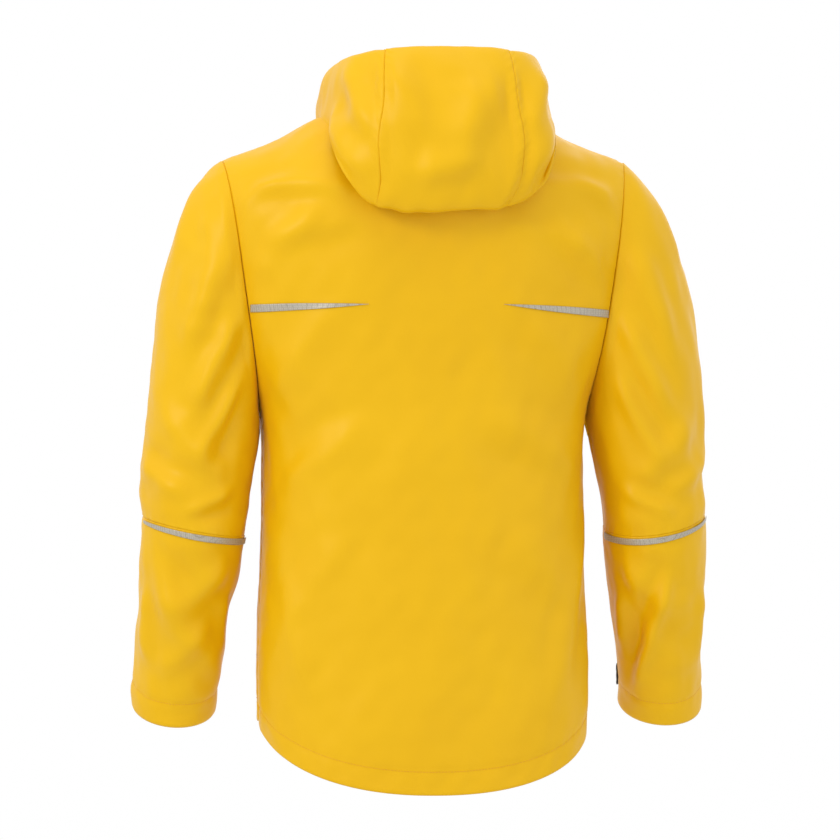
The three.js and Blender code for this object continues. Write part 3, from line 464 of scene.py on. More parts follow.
@dataclass
class SleeveForm:
    """The filled shape of one sleeve, drawn on the wearer's left."""

    body: BodyForm
    top_reach: float = 0.118
    elbow: tuple[float, float, float] = (0.2645, -0.008, 0.300)
    elbow_half: tuple[float, float] = (0.059, 0.065)
    elbow_rise: float = 0.010
    elbow_sag: float = 0.008
    cuff: tuple[float, float, float] = (0.278, -0.070, 0.097)
    cuff_half: tuple[float, float] = (0.0485, 0.050)
    cuff_slant: float = 0.024

    def armhole(self, angle: Points) -> Points:
        """Returns armhole points; angle 0 is the shoulder tip and pi the underarm."""
        z = mix(self.body.armpit_z, self.body.tip_z, (1 + np.cos(angle)) / 2)
        x = self.body.armhole_x(z)
        rear = np.sin(angle) >= 0
        y = np.where(rear, self.body.surface_y(x, z, 1), self.body.surface_y(x, z, -1))
        return np.stack([x, y, z], -1)

    def ring(self, angle: Points, centre: Sequence[float], half: Sequence[float],
             rise: float, slant: float) -> Points:
        """Returns points of an oval ring that rises outwards and drops backwards."""
        return np.stack([centre[0] + half[0] * np.cos(angle), centre[1] + half[1] * np.sin(angle),
                         centre[2] + rise * np.cos(angle) - slant * np.sin(angle)], -1)

    @staticmethod
    def cubic(start: Points, leaving: Points, arriving: Points, end: Points, t: Points) -> Points:
        """Returns points of cubics from start to end with the given handles."""
        t = t[..., None]
        return ((1 - t) ** 3 * start + 3 * (1 - t) ** 2 * t * leaving
                + 3 * (1 - t) * t * t * arriving + t ** 3 * end)

    def upper(self, angle: Points, along: Points) -> Points:
        """Returns points of the upper sleeve, from the armhole (0) to the elbow seam (1)."""
        angle, along = np.broadcast_arrays(angle, along)
        outside = (1 + np.cos(angle)) / 2
        start = self.armhole(angle)
        end = self.ring(angle, self.elbow, self.elbow_half, self.elbow_rise, self.elbow_sag)
        way = np.stack([mix(0.1, 0.76, outside), 0.18 * np.sin(angle), -mix(1, 0.62, outside)], -1)
        reach = mix(0.35 * (self.body.armpit_z - self.elbow[2]), self.top_reach, outside)
        back = np.array([-0.03, 0.02, 1.0]) * (0.33 * (start[..., 2] - end[..., 2]))[..., None]
        return self.cubic(start, start + way * reach[..., None], end + back, end, along)

    def lower(self, angle: Points, along: Points) -> Points:
        """Returns points of the lower sleeve, from the elbow seam (0) to the cuff (1)."""
        angle, along = np.broadcast_arrays(angle, along)
        start = self.ring(angle, self.elbow, self.elbow_half, self.elbow_rise, self.elbow_sag)
        end = self.ring(angle, self.cuff, self.cuff_half, 0, self.cuff_slant)
        drop = (start[..., 2] - end[..., 2])[..., None]
        return self.cubic(start, start + np.array([0.03, -0.08, -0.33]) * drop,
                          end + np.array([-0.02, 0.12, 0.33]) * drop, end, along)


# ------------------------------------------------------------------ cloth as grids of points
@dataclass(frozen=True)
class Fold:
    """One crease or drag line in the cloth: a straight line with a ridge and a hollow beside it."""

    start: tuple[float, float, float]
    end: tuple[float, float, float]
    width: float
    height: float
    hollow: float = 0.6

    def lift(self, points: Points, normals: Points) -> Points:
        """Returns how far the fold lifts each point along its normal."""
        start, line = np.array(self.start), np.array(self.end) - np.array(self.start)
        t = np.clip(((points - start) @ line) / (line @ line), -0.3, 1.3)
        away = points - (start + t[..., None] * line)
        sideways = unit(np.cross(normals, unit(line)))
        beside = np.sum(away * sideways, -1)
        off = np.linalg.norm(away - beside[..., None] * sideways, axis=-1)
        near = np.exp(-(off / 0.05) ** 2)
        ends = smooth((t + 0.12) / 0.4) * smooth((1.12 - t) / 0.4)
        across = beside / self.width
        ridge = np.exp(-across ** 2) - self.hollow * np.exp(-((across - 1.7) / 1.1) ** 2)
        return FULLNESS * self.height * ends * near * ridge


@dataclass(frozen=True)
class Ripple:
    """Soft unevenness of hanging cloth: a few long waves that cross each other."""

    height: float = 0.0011
    shortest: float = 0.060
    longest: float = 0.150
    count: int = 9
    seed: int = 5
    upright: float = 2.2              # how much the waves run up and down rather than round

    def lift(self, points: Points) -> Points:
        """Returns how far the waves lift each point."""
        rng = np.random.default_rng(self.seed)
        total = np.zeros(points.shape[:-1])
        for _ in range(self.count):
            way = rng.normal(size=3) * np.array([self.upright, self.upright, 1.0])
            way /= np.linalg.norm(way)
            length = rng.uniform(self.shortest, self.longest)
            phase = rng.uniform(0, 2 * np.pi)
            total += np.sin(points @ way * (2 * np.pi / length) + phase)
        return total * self.height / math.sqrt(self.count)


@dataclass
class ClothGrid:
    """A sheet of cloth as rows of points, its outside on the side that outward points to."""

    points: Points                    # rows, columns, 3
    closed: bool = False              # the last column joins the first
    flip: bool = False

    def normals(self) -> Points:
        """Returns the unit normals on the outside."""
        if self.closed:
            wrapped = np.concatenate([self.points[:, -1:], self.points, self.points[:, :1]], 1)
            across = np.gradient(wrapped, axis=1)[:, 1:-1]
        else:
            across = np.gradient(self.points, axis=1)
        along = np.gradient(self.points, axis=0)
        normal = unit(np.cross(across, along))
        return -normal if self.flip else normal

    def lifted(self, height: Points) -> "ClothGrid":
        """Returns the sheet with each point moved out along its normal by height."""
        return ClothGrid(self.points + self.normals() * height[..., None], self.closed, self.flip)

    def edge_share(self, reach: float) -> Points:
        """Returns 0 at the sheet's free edges, rising to 1 at the distance reach from them."""
        down = run_length(self.points)
        share = smooth(down / reach) * smooth((down[-1:] - down) / reach)
        if not self.closed:
            over = run_length(self.points, 1)
            share = share * smooth(over / reach) * smooth((over[:, -1:] - over) / reach)
        return share

    def size(self) -> tuple[float, float, float]:
        """Returns the flat width, the flat length and the area of the sheet."""
        ring = np.concatenate([self.points, self.points[:, :1]], 1) if self.closed else self.points
        over = np.linalg.norm(np.diff(ring, axis=1), axis=-1).sum(1).max()
        down = np.linalg.norm(np.diff(ring, axis=0), axis=-1).sum(0).max()
        a = ring[1:, :-1] - ring[:-1, :-1]
        b = ring[:-1, 1:] - ring[:-1, :-1]
        c = ring[1:, :-1] - ring[1:, 1:]
        d = ring[:-1, 1:] - ring[1:, 1:]
        area = (np.linalg.norm(np.cross(a, b), axis=-1) + np.linalg.norm(np.cross(c, d), axis=-1)).sum() / 2
        return float(over), float(down), float(min(area, over * down))


def relief_of(grid: "ClothGrid", ripples: "Sequence[Ripple]", folds: Sequence[tuple[float, ...]],
              side: int = 1, fade: Points | float = 1.0) -> Points:
    """Adds up ripples and folds.

    Args:
        grid: the smooth cloth.
        ripples: its unevenness.
        folds: rows of start, end, width and height, and for some the hollow.
        side: 1, or -1 for folds drawn on the other side of the garment.
        fade: what is left of the ripples.

    Returns:
        The height at each point of the grid.
    """
    points, normals = grid.points, grid.normals()
    height = sum(ripple.lift(points) for ripple in ripples) * fade
    return height + sum(Fold((side * row[0], *row[1:3]), (side * row[3], *row[4:6]), *row[6:]).lift(
        points, normals) for row in folds)


@dataclass
class HoodForm:
    """The hood lying down on the back: a pouch whose profile runs from the nape to its face edge."""

    body: BodyForm
    bottom_z: float = 0.661
    side_z: float = 0.762
    ridge_z: float = 0.8475
    ridge_drop: float = 0.018
    half_width: float = 0.138
    depth: float = 0.166
    roundness: float = 3.2
    rest: float = 0.010
    softening: float = 0.010
    seam_angle: float = math.radians(27)
    end_angle: float = math.radians(88)
    narrowing: float = 0.09
    lean: float = 0.012

    def profile_keys(self, angle: Points) -> Points:
        """Returns the key points of the profile at each angle, 0 being the centre back."""
        sideways = np.sign(angle) * np.abs(np.sin(angle)) ** (2 / self.roundness)
        backwards = np.abs(np.cos(angle)) ** (2 / self.roundness)
        bottom = mix(self.bottom_z, self.side_z, np.abs(2 * angle / np.pi) ** 2.6)
        ridge = self.ridge_z - self.ridge_drop * (1 - np.cos(angle))
        rise = 0.008 + 0.053 * np.cos(angle) ** 2

        def place(width: float, depth: float, z: Points, clear: float) -> Points:
            """Returns one key, kept clear of the body below it."""
            x = width * self.half_width * sideways
            low = z - self.rest
            above = low - self.body.shoulder_z(x)
            over = np.where(above < 0, self.body.surface_y(x, low, 1), 0.0)
            over += clear * smooth(1 - above / 0.030)
            own = depth * self.depth * backwards
            return np.stack([x, 0.5 * (own + over + np.hypot(own - over, self.softening)), z], -1)

        return np.stack([
            place(0.75, 0, bottom + rise, 0.005), place(0.79, 0, bottom + 0.007, 0.006),
            place(0.88, 0.87, bottom, 0.016), place(0.985, 1, mix(bottom, ridge, 0.3), 0.024),
            place(1, 0.985, mix(bottom, ridge, 0.6), 0.024),
            place(0.97, 0.87, mix(bottom, ridge, 0.88), 0.024),
            place(0.915, 0.75, ridge, 0.020), place(0.87, 0.69, ridge - 0.009, 0.014)])

    def surface(self, angle: Points, along: Points) -> Points:
        """Returns points of the hood's outside; along runs from 0 at the nape to 1 at the face."""
        angle, along = np.broadcast_arrays(np.asarray(angle, float), np.asarray(along, float))
        keys = self.profile_keys(angle)
        last = len(keys) - 1
        ends = np.concatenate([2 * keys[:1] - keys[1:2], keys, 2 * keys[-1:] - keys[-2:-1]])
        steps = np.diff(ends, axis=0)
        chords = np.maximum(np.linalg.norm(steps, axis=-1, keepdims=True), 1e-6) ** 0.5
        slopes = (steps[:-1] / chords[:-1] - (ends[2:] - ends[:-2]) / (chords[:-1] + chords[1:])
                  + steps[1:] / chords[1:])
        total = np.zeros(angle.shape + (3,))
        for i in range(last):
            t = np.clip(along * last - i, 0, 1)[..., None]
            point = hermite(keys[i], keys[i + 1], slopes[i], slopes[i + 1], chords[i + 1], t)
            inside = (np.floor(np.minimum(along * last, last - 1e-9)) == i)[..., None]
            total = np.where(inside, point, total)
        return self.settled(total)

    def settled(self, points: Points) -> Points:
        """Returns the hood's points narrowed towards the ridge and leaning to one side."""
        above = smooth((points[..., 2] - 0.735) / 0.060)
        narrowed = points * np.stack([1 - self.narrowing * above, 1 + 0 * above, 1 + 0 * above], -1)
        narrowed[..., 0] -= self.lean * smooth((points[..., 2] - 0.650) / 0.050)
        return narrowed


# ------------------------------------------------------------------ pieces
def frame_origin() -> Points:
    """Returns where the garment's own origin lies in the frame."""
    low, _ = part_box("back_panel")
    return np.array([0.0, low.y - BodyForm().seam, low.z])


ORIGIN = frame_origin()


@dataclass(frozen=True)
class Riding:
    """The body that a piece moves with, or two bodies and the ends of a bend between them."""

    body: str
    other: str = ""
    start: tuple[float, float, float] = (0.0, 0.0, 0.0)
    end: tuple[float, float, float] = (0.0, 0.0, 0.0)

    def fasten(self, piece: bpy.types.Object) -> None:
        """Makes the piece move with its body; a piece between two bodies only has its place baked into its
        mesh.
        """
        if self.other:
            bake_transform(piece)
        else:
            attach(piece, self.body)


def new_piece(name: str, points: Points, faces: list, material: bpy.types.Material) -> bpy.types.Object:
    """Makes a smooth-shaded piece.

    Args:
        name: the piece's name.
        points: corners in the garment's layout.
        faces: the corner numbers of each face.
        material: its finish.

    Returns:
        The new object, its place in its mesh.
    """
    mesh = bpy.data.meshes.new(name)
    mesh.from_pydata((points + ORIGIN).tolist(), [], faces)
    mesh.update()
    mesh.polygons.foreach_set("use_smooth", np.ones(len(mesh.polygons), bool))
    mesh.materials.append(material)
    piece = bpy.data.objects.new(name, mesh)
    bpy.context.scene.collection.objects.link(piece)
    return piece


def quad_rows(rows: int, columns: int, closed: bool) -> Points:
    """Returns the corner numbers of the quads of a grid, one row of four per quad."""
    i = np.arange(rows - 1)[:, None]
    j = np.arange(columns if closed else columns - 1)[None, :]
    after = (j + 1) % columns
    return np.stack([i * columns + j, i * columns + after, (i + 1) * columns + after,
                     (i + 1) * columns + j], -1).reshape(-1, 4)


def cloth_piece(name: str, grid: ClothGrid, thickness: float,
                material: bpy.types.Material) -> bpy.types.Object:
    """Makes a closed piece of cloth from its outside, with an inner face and turned edges."""
    rows, columns = grid.points.shape[:2]
    inner = grid.points - grid.normals() * thickness
    points = np.concatenate([grid.points.reshape(-1, 3), inner.reshape(-1, 3)])
    count = rows * columns
    outside = quad_rows(rows, columns, grid.closed)
    inside = outside[:, ::-1] + count
    number = np.arange(count).reshape(rows, columns)

    def rim(edge: Points, loop: bool) -> Points:
        """Returns the quads between the two faces along one edge."""
        after = np.roll(edge, -1) if loop else edge[1:]
        here = edge if loop else edge[:-1]
        return np.stack([after, here, here + count, after + count], -1)

    parts = [outside, inside, rim(number[0], grid.closed), rim(number[-1][::-1], grid.closed)]
    if not grid.closed:
        parts += [rim(number[::-1, 0], False), rim(number[:, -1], False)]
    faces = np.concatenate(parts)
    if grid.flip:
        faces = faces[:, ::-1]
    return new_piece(name, points, faces.tolist(), material)


def stitches(name: str, lines: Sequence[tuple[Points, Points]], material: bpy.types.Material,
             pitch: float = 0.0036, length: float = 0.0026, width: float = 0.0007) -> bpy.types.Object:
    """Makes a row of raised stitches along lines on the cloth.

    Args:
        name: the piece's name.
        lines: pairs of a line's points and the cloth's normals there.
        material: the thread's finish.
        pitch: distance from one stitch to the next.
        length: length of one stitch.
        width: how thick the thread lies.

    Returns:
        The rows of stitches as one piece.
    """
    stations = np.array([-0.5, -0.38, 0.0, 0.38, 0.5])
    girth = np.array([0.25, 0.8, 1.0, 0.8, 0.25]) * width / 2
    turn = np.linspace(0, 2 * np.pi, 6, endpoint=False)
    points, faces = [], []
    caps = quad_rows(5, 6, True)
    for line, normals in lines:
        run = run_length(line)
        middles = np.arange(pitch, run[-1] - pitch / 2, pitch)
        centre = np.stack([np.interp(middles, run, line[:, k]) for k in range(3)], -1)
        up = unit(np.stack([np.interp(middles, run, normals[:, k]) for k in range(3)], -1))
        way = unit(np.gradient(centre, axis=0))
        side = unit(np.cross(up, way))
        for c, n, w, s in zip(centre, up, way, side):
            base = len(points) * 30
            ring = (girth[:, None, None] * (np.cos(turn)[None, :, None] * s
                                            + np.sin(turn)[None, :, None] * n))
            spine = (stations * length)[:, None, None] * w
            points.append((c + spine + ring).reshape(-1, 3))
            faces += (caps + base).tolist()
            faces += [[base + k for k in range(5, -1, -1)], [base + 24 + k for k in range(6)]]
    return new_piece(name, np.concatenate(points), [f[::-1] for f in faces], material)


@dataclass
class Seams:
    """How the cloth is drawn in along the edges of a grid that are sewn to another panel."""

    low_row: bool = False
    high_row: bool = False
    low_column: bool = False
    high_column: bool = False
    armhole_axis: int = -1            # 0 or 1 where the rows' or columns' ends lie at the armhole
    radius: float = 0.0013            # roll of the cloth into the seam
    pull: float = 0.0014              # softer sinking of the cloth beside the seam
    reach: float = 0.008
    allowance: float = 0.0024         # how far the turned edge runs inwards
    under: float = 0.0030             # how far it runs on below the next panel
    armhole_centre: tuple[float, float] = (0.200, 0.575)    # its x and z, on either side
    armhole_low: float = 0.425        # height where the way into the armhole takes over
    armhole_fade: float = 0.030       # and the height over which it does

    def ways(self, grid: ClothGrid) -> list[Points]:
        """Returns the outward ways at the ends of the rows and of the columns."""
        normals, x = grid.normals(), grid.points[..., 0]
        out, up = self.armhole_centre
        centre = np.stack([out * np.sign(x), 0 * x, 0 * x + up], -1)
        share = smooth((grid.points[..., 2:] - self.armhole_low) / self.armhole_fade)
        return [unit(mix(normals, unit(grid.points - centre), share)) if self.armhole_axis == axis
                else normals for axis in (0, 1)]

    def sink(self, points: Points, axis: int, low: bool, high: bool) -> Points:
        """Returns how deep the cloth sinks beside the sewn ends of an axis."""
        total = np.zeros(points.shape[:2])
        run, other = run_length(points, axis), run_length(points, 1 - axis)
        pucker = 0.65 + 0.2 * np.sin(other * 520 + 1.3 * np.sin(other * 97)) \
            + 0.15 * np.sin(other * 243 + 2.0)
        for sewn, distance in ((low, run), (high, np.take(run, [-1], axis) - run)):
            if sewn:
                near = np.clip(1 - distance / self.radius, 0, 1)
                total += self.radius * (1 - np.sqrt(1 - near ** 2))
                total += self.pull * pucker * np.exp(-(distance / self.reach) ** 2)
        return total

    def turned(self, edge: Points, inner: Points, inwards: Points) -> Points:
        """Returns a sewn edge, turned inwards and run on square to itself, away from inner."""
        along, onward = unit(np.gradient(edge, axis=0)), edge - inner
        square = onward - np.sum(onward * along, -1, keepdims=True) * along
        return (edge + inwards + unit(square) * self.under)[None]

    def shape(self, grid: ClothGrid) -> ClothGrid:
        """Returns the grid drawn into its seams, with the turned edges added."""
        sewn = ((self.low_row, self.high_row), (self.low_column, self.high_column))
        points, ways = grid.points.copy(), self.ways(grid)
        for axis in (0, 1):
            points -= ways[axis] * self.sink(grid.points, axis, *sewn[axis])[..., None]
        inwards = -ways[max(self.armhole_axis, 0)] * self.allowance
        for axis, (low, high) in enumerate(sewn):
            points, inwards = np.swapaxes(points, 0, axis), np.swapaxes(inwards, 0, axis)
            rows = [points]
            if low:
                rows.insert(0, self.turned(points[0], points[3], inwards[0]))
            if high:
                rows.append(self.turned(points[-1], points[-4], inwards[-1]))
            pad = ((int(low), int(high)), (0, 0), (0, 0))
            points = np.swapaxes(np.concatenate(rows), 0, axis)
            inwards = np.swapaxes(np.pad(inwards, pad, mode="edge"), 0, axis)
        return ClothGrid(points, grid.closed, grid.flip)


@dataclass
class Sheet:
    """One cut of cloth: its smooth shape, its seams and folds, and what it stands for."""

    name: str
    grid: ClothGrid
    slot: str
    node: str = ""                    # the CAD node that it replaces
    riding: Riding = Riding(SHELL)
    thickness: float = 0.0011
    seams: Seams = field(default_factory=Seams)
    relief: Points | None = None      # height of folds at each point of the grid
    rests_on: tuple[str, ...] = ()
    held: str = "hung"

    def build(self, material: bpy.types.Material) -> None:
        shaped = self.grid if self.relief is None else self.grid.lifted(self.relief)
        piece = cloth_piece(self.name, self.seams.shape(shaped), self.thickness, material)
        self.riding.fasten(piece)
        if self.node:
            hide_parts(self.node)
        width, length, area = self.grid.size()
        width, length = max(width, LEAST_FLAT), max(length, LEAST_FLAT)
        area = min(max(area, LEAST_AREA * width * length), width * length)
        LOG.info("%s: flat %.0f x %.0f mm", self.name, 1000 * width, 1000 * length)


@dataclass
class Maker:
    """What makes a part of the jacket: its form and the finishes by slot."""

    form: BodyForm
    finishes: dict[str, bpy.types.Material]

    def sheet(self, name: str, grid: ClothGrid, slot: str, node: str = "", **rest: object) -> None:
        """Builds a sheet in the finish of its slot; rest are other values of Sheet."""
        Sheet(name, grid, slot, node, **rest).build(self.finishes[slot])

    def fixed(self, piece: bpy.types.Object, slot: str, body: str = SHELL) -> None:
        """Fastens a piece that is no sheet to one body."""
        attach(piece, body)


def mirrored(points: Points, hand: Hand) -> Points:
    """Returns the points on that side of the garment."""
    return points * np.array([hand.value, 1.0, 1.0])


def crossing(grid: ClothGrid, run: Points, distance: float) -> tuple[Points, Points]:
    """Finds a stitched line round a grid.

    Args:
        grid: the cloth.
        run: how far each column has run at each row, rising or falling.
        distance: how far it has run at the line.

    Returns:
        The line's points and the cloth's normals there.
    """
    order = slice(None, None, 1 if run[-1, 0] > run[0, 0] else -1)
    rows, j = np.arange(len(run))[order], np.arange(run.shape[1])
    row = np.array([np.interp(distance, column[order], rows) for column in run.T])
    low = np.floor(row).astype(int)
    line = mix(grid.points[low, j], grid.points[low + 1, j], (row - low)[:, None])
    return line, grid.normals()[low, j]


def node_box(node: str) -> tuple[Points, Points]:
    """Returns a node's box in the garment's layout."""
    low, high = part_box(node)
    return np.array(low) - ORIGIN, np.array(high) - ORIGIN


# ------------------------------------------------------------------ the body
@dataclass
class Body(Maker):
    """Back and front panels, hem facings and linings."""

    lining_depth: float = 0.008
    facing_depth: float = 0.0036
    hem_stitch: float = 0.027         # stitched line above the edge of the hem
    columns: int = 150
    rows_below: int = 110
    rows_above: int = 96
    cloths: dict[str, ClothGrid] = field(default_factory=dict)    # the folded panels by name

    def climb(self) -> Points:
        """Returns the row parameters of a panel, from the hem to the shoulder."""
        below = spaced(self.rows_below, (True, False), 0.014)
        above = spaced(self.rows_above, (False, True), 0.05)
        return np.concatenate([below[:-1], 1 + above])

    def hem_relief(self, grid: ClothGrid) -> Points:
        """Returns the doubled hem: a slight step at its stitched line and a soft roll at its edge."""
        run, over = run_length(grid.points), run_length(grid.points, 1)
        pull = 0.7 + 0.3 * np.sin(over * 390 + 2 * np.sin(over * 61))
        line = -0.0011 * pull * np.exp(-((run - self.hem_stitch) / 0.0035) ** 2)
        bag = 0.0007 * np.sin(over * 165 + np.sin(over * 47)) * np.exp(-((run - 0.013) / 0.009) ** 2)
        roll = -0.0011 * np.exp(-run / 0.0012)
        return line + bag + roll

    def relief(self, grid: ClothGrid, side: int) -> Points:
        """Returns the height of the folds and ripples of the back (side 1) or the front (-1)."""
        ripples = (Ripple(0.0018, seed=15 - 4 * side),
                   Ripple(0.0005, 0.022, 0.045, 14, seed=16 - 4 * side))
        half = ((0.196, -0.08, 0.470, 0.090, -0.13, 0.600, 0.017, 0.0045),
                (0.186, -0.09, 0.390, 0.080, -0.13, 0.440, 0.020, 0.0030),
                (0.205, -0.05, 0.600, 0.120, -0.11, 0.700, 0.013, 0.0026),
                (0.184, -0.07, 0.300, 0.150, -0.11, 0.150, 0.020, 0.0024))
        front = [(s * a, b, c, s * d, *rest) for s in (1, -1) for a, b, c, d, *rest in half]
        back = ((0.196, 0.09, 0.450, 0.110, 0.13, 0.560, 0.020, 0.0030),
                (-0.196, 0.09, 0.440, -0.105, 0.13, 0.555, 0.020, 0.0030),
                (0.214, 0.07, 0.575, 0.135, 0.12, 0.670, 0.014, 0.0026),
                (-0.214, 0.07, 0.570, -0.130, 0.12, 0.665, 0.014, 0.0028),
                (-0.178, 0.09, 0.375, -0.060, 0.12, 0.430, 0.020, 0.0034),
                (0.180, 0.09, 0.350, 0.075, 0.12, 0.420, 0.019, 0.0032),
                (-0.172, 0.09, 0.225, -0.090, 0.12, 0.300, 0.024, 0.0022),
                (0.176, 0.09, 0.200, 0.110, 0.12, 0.290, 0.022, 0.0022),
                (-0.015, 0.12, 0.140, 0.030, 0.12, 0.330, 0.034, 0.0018),
                (0.100, 0.11, 0.690, 0.205, 0.06, 0.688, 0.010, 0.0024),
                (-0.100, 0.11, 0.700, -0.205, 0.06, 0.676, 0.011, 0.0024),
                (0.085, 0.12, 0.655, 0.195, 0.07, 0.630, 0.014, 0.0020),
                (-0.085, 0.12, 0.650, -0.190, 0.07, 0.615, 0.014, 0.0022),
                (0.182, 0.06, 0.300, 0.150, 0.10, 0.120, 0.020, 0.0024),
                (-0.184, 0.06, 0.280, -0.150, 0.10, 0.110, 0.020, 0.0024),
                (0.225, 0.03, 0.640, 0.165, 0.09, 0.705, 0.011, 0.0022),
                (-0.225, 0.03, 0.640, -0.165, 0.09, 0.705, 0.011, 0.0022))
        return relief_of(grid, ripples, back if side > 0 else front)

    def panel(self, fan: Points, climb: Points, side: int, flip: bool) -> ClothGrid:
        """Returns a smooth grid of the back (side 1) or of one front, up to its zip edge."""
        inner = 0.0 if side > 0 else ZIP_EDGE
        return ClothGrid(self.form.panel(fan[None, :], climb[:, None], side, inner), flip=flip)

    def build_back(self) -> None:
        """Builds the one-piece back with its dropped tail."""
        grid = self.panel(both_ways(self.columns // 2), self.climb(), 1, True)
        relief = self.relief(grid, 1) * grid.edge_share(0.030) + self.hem_relief(grid)
        self.sheet("back_cloth", grid, "shell_fabric", "back_panel", relief=relief,
                   seams=Seams(high_row=True, low_column=True, high_column=True, armhole_axis=1))
        self.cloths["back"] = grid.lifted(relief)

    def build_front(self, hand: Hand) -> None:
        """Builds one front panel, from the side seam to the zip."""
        fan = hand.value * np.maximum(spaced(self.columns // 2, (True, True), 0.02), 1e-6)
        grid = self.panel(fan, self.climb(), -1, hand is Hand.RIGHT)
        relief = self.relief(grid, -1) * grid.edge_share(0.030) + self.hem_relief(grid)
        out, up = np.abs(grid.points[..., 0]), grid.points[..., 2]
        pocket = np.exp(-((out - POCKET_X) / 0.012) ** 2)
        pocket *= smooth((up - 0.150) / 0.02) * smooth((0.372 - up) / 0.02)
        relief = relief * (1 - pocket) - 0.0005 * np.exp(-np.maximum(out - ZIP_EDGE, 0) / 0.0012)
        self.sheet(f"front_cloth_{hand.word}", grid, "shell_fabric", f"front_panel_{hand.word}",
                   relief=relief, seams=Seams(high_row=True, high_column=True, armhole_axis=1))
        self.cloths[hand.word] = grid.lifted(relief)

    def build_inside(self) -> None:
        """Builds the facings of the hem and the lining behind each panel."""
        wide, half = np.linspace(-0.985, 0.985, 81), np.linspace(0.02, 0.985, 41)
        inner = np.linspace(0.22, 0.975, 41)
        for name, label, cloth, side, fan, span, flip in (
                ("back", "back", "back_cloth", 1, wide, wide * 0.99, True),
                ("left", "front_left", "front_cloth_left", -1, half, inner, False),
                ("right", "front_right", "front_cloth_right", -1, -half, -inner, True)):
            low = self.panel(fan, np.linspace(0.004, 0.15, 14), side, flip)
            facing = low.lifted(np.full(low.points.shape[:2], -self.facing_depth))
            self.sheet(f"hem_facing_cloth_{name}", facing, "shell_fabric", f"hem_facing_{name}",
                       rests_on=(cloth,))
            high = self.panel(span, np.linspace(0.13, 1.96, 70), side, flip)
            depth = self.relief(high, side) - self.lining_depth
            self.sheet(f"body_lining_{label}", high.lifted(depth), "lining_fabric",
                       f"lining_{label}", thickness=0.0008)

    def build_stitching(self) -> None:
        """Builds the stitched line of the hem, all round."""
        lines = []
        for grid in self.cloths.values():
            line, normals = crossing(grid, run_length(grid.points), self.hem_stitch)
            lines.append((line + 0.0001 * normals, normals))
        self.fixed(stitches("hem_stitching", lines, self.finishes["thread"]), "shell_fabric")

    def build(self) -> None:
        """Builds the whole body."""
        self.build_back()
        for hand in Hand:
            self.build_front(hand)
        self.build_inside()
        self.build_stitching()


def lay_on(cloth: ClothGrid, over: ClothGrid, clearance: float) -> ClothGrid:
    """Lays a smooth grid onto folded cloth.

    Args:
        cloth: the cloth below, with its folds.
        over: the grid to lay, near the cloth.
        clearance: how far its outside ends up above the cloth.

    Returns:
        The grid with each point moved along its normal to just above the cloth.
    """
    rows, columns = cloth.points.shape[:2]
    tree = BVHTree.FromPolygons(cloth.points.reshape(-1, 3).tolist(),
                                quad_rows(rows, columns, cloth.closed).tolist())
    points, normals = over.points.copy(), over.normals()
    for index in np.ndindex(points.shape[:2]):
        way = Vector(normals[index])
        hit = tree.ray_cast(Vector(points[index]) + 0.02 * way, -way, 0.04)[0]
        if hit is not None:
            points[index] = hit + clearance * way
    return ClothGrid(points, over.closed, over.flip)


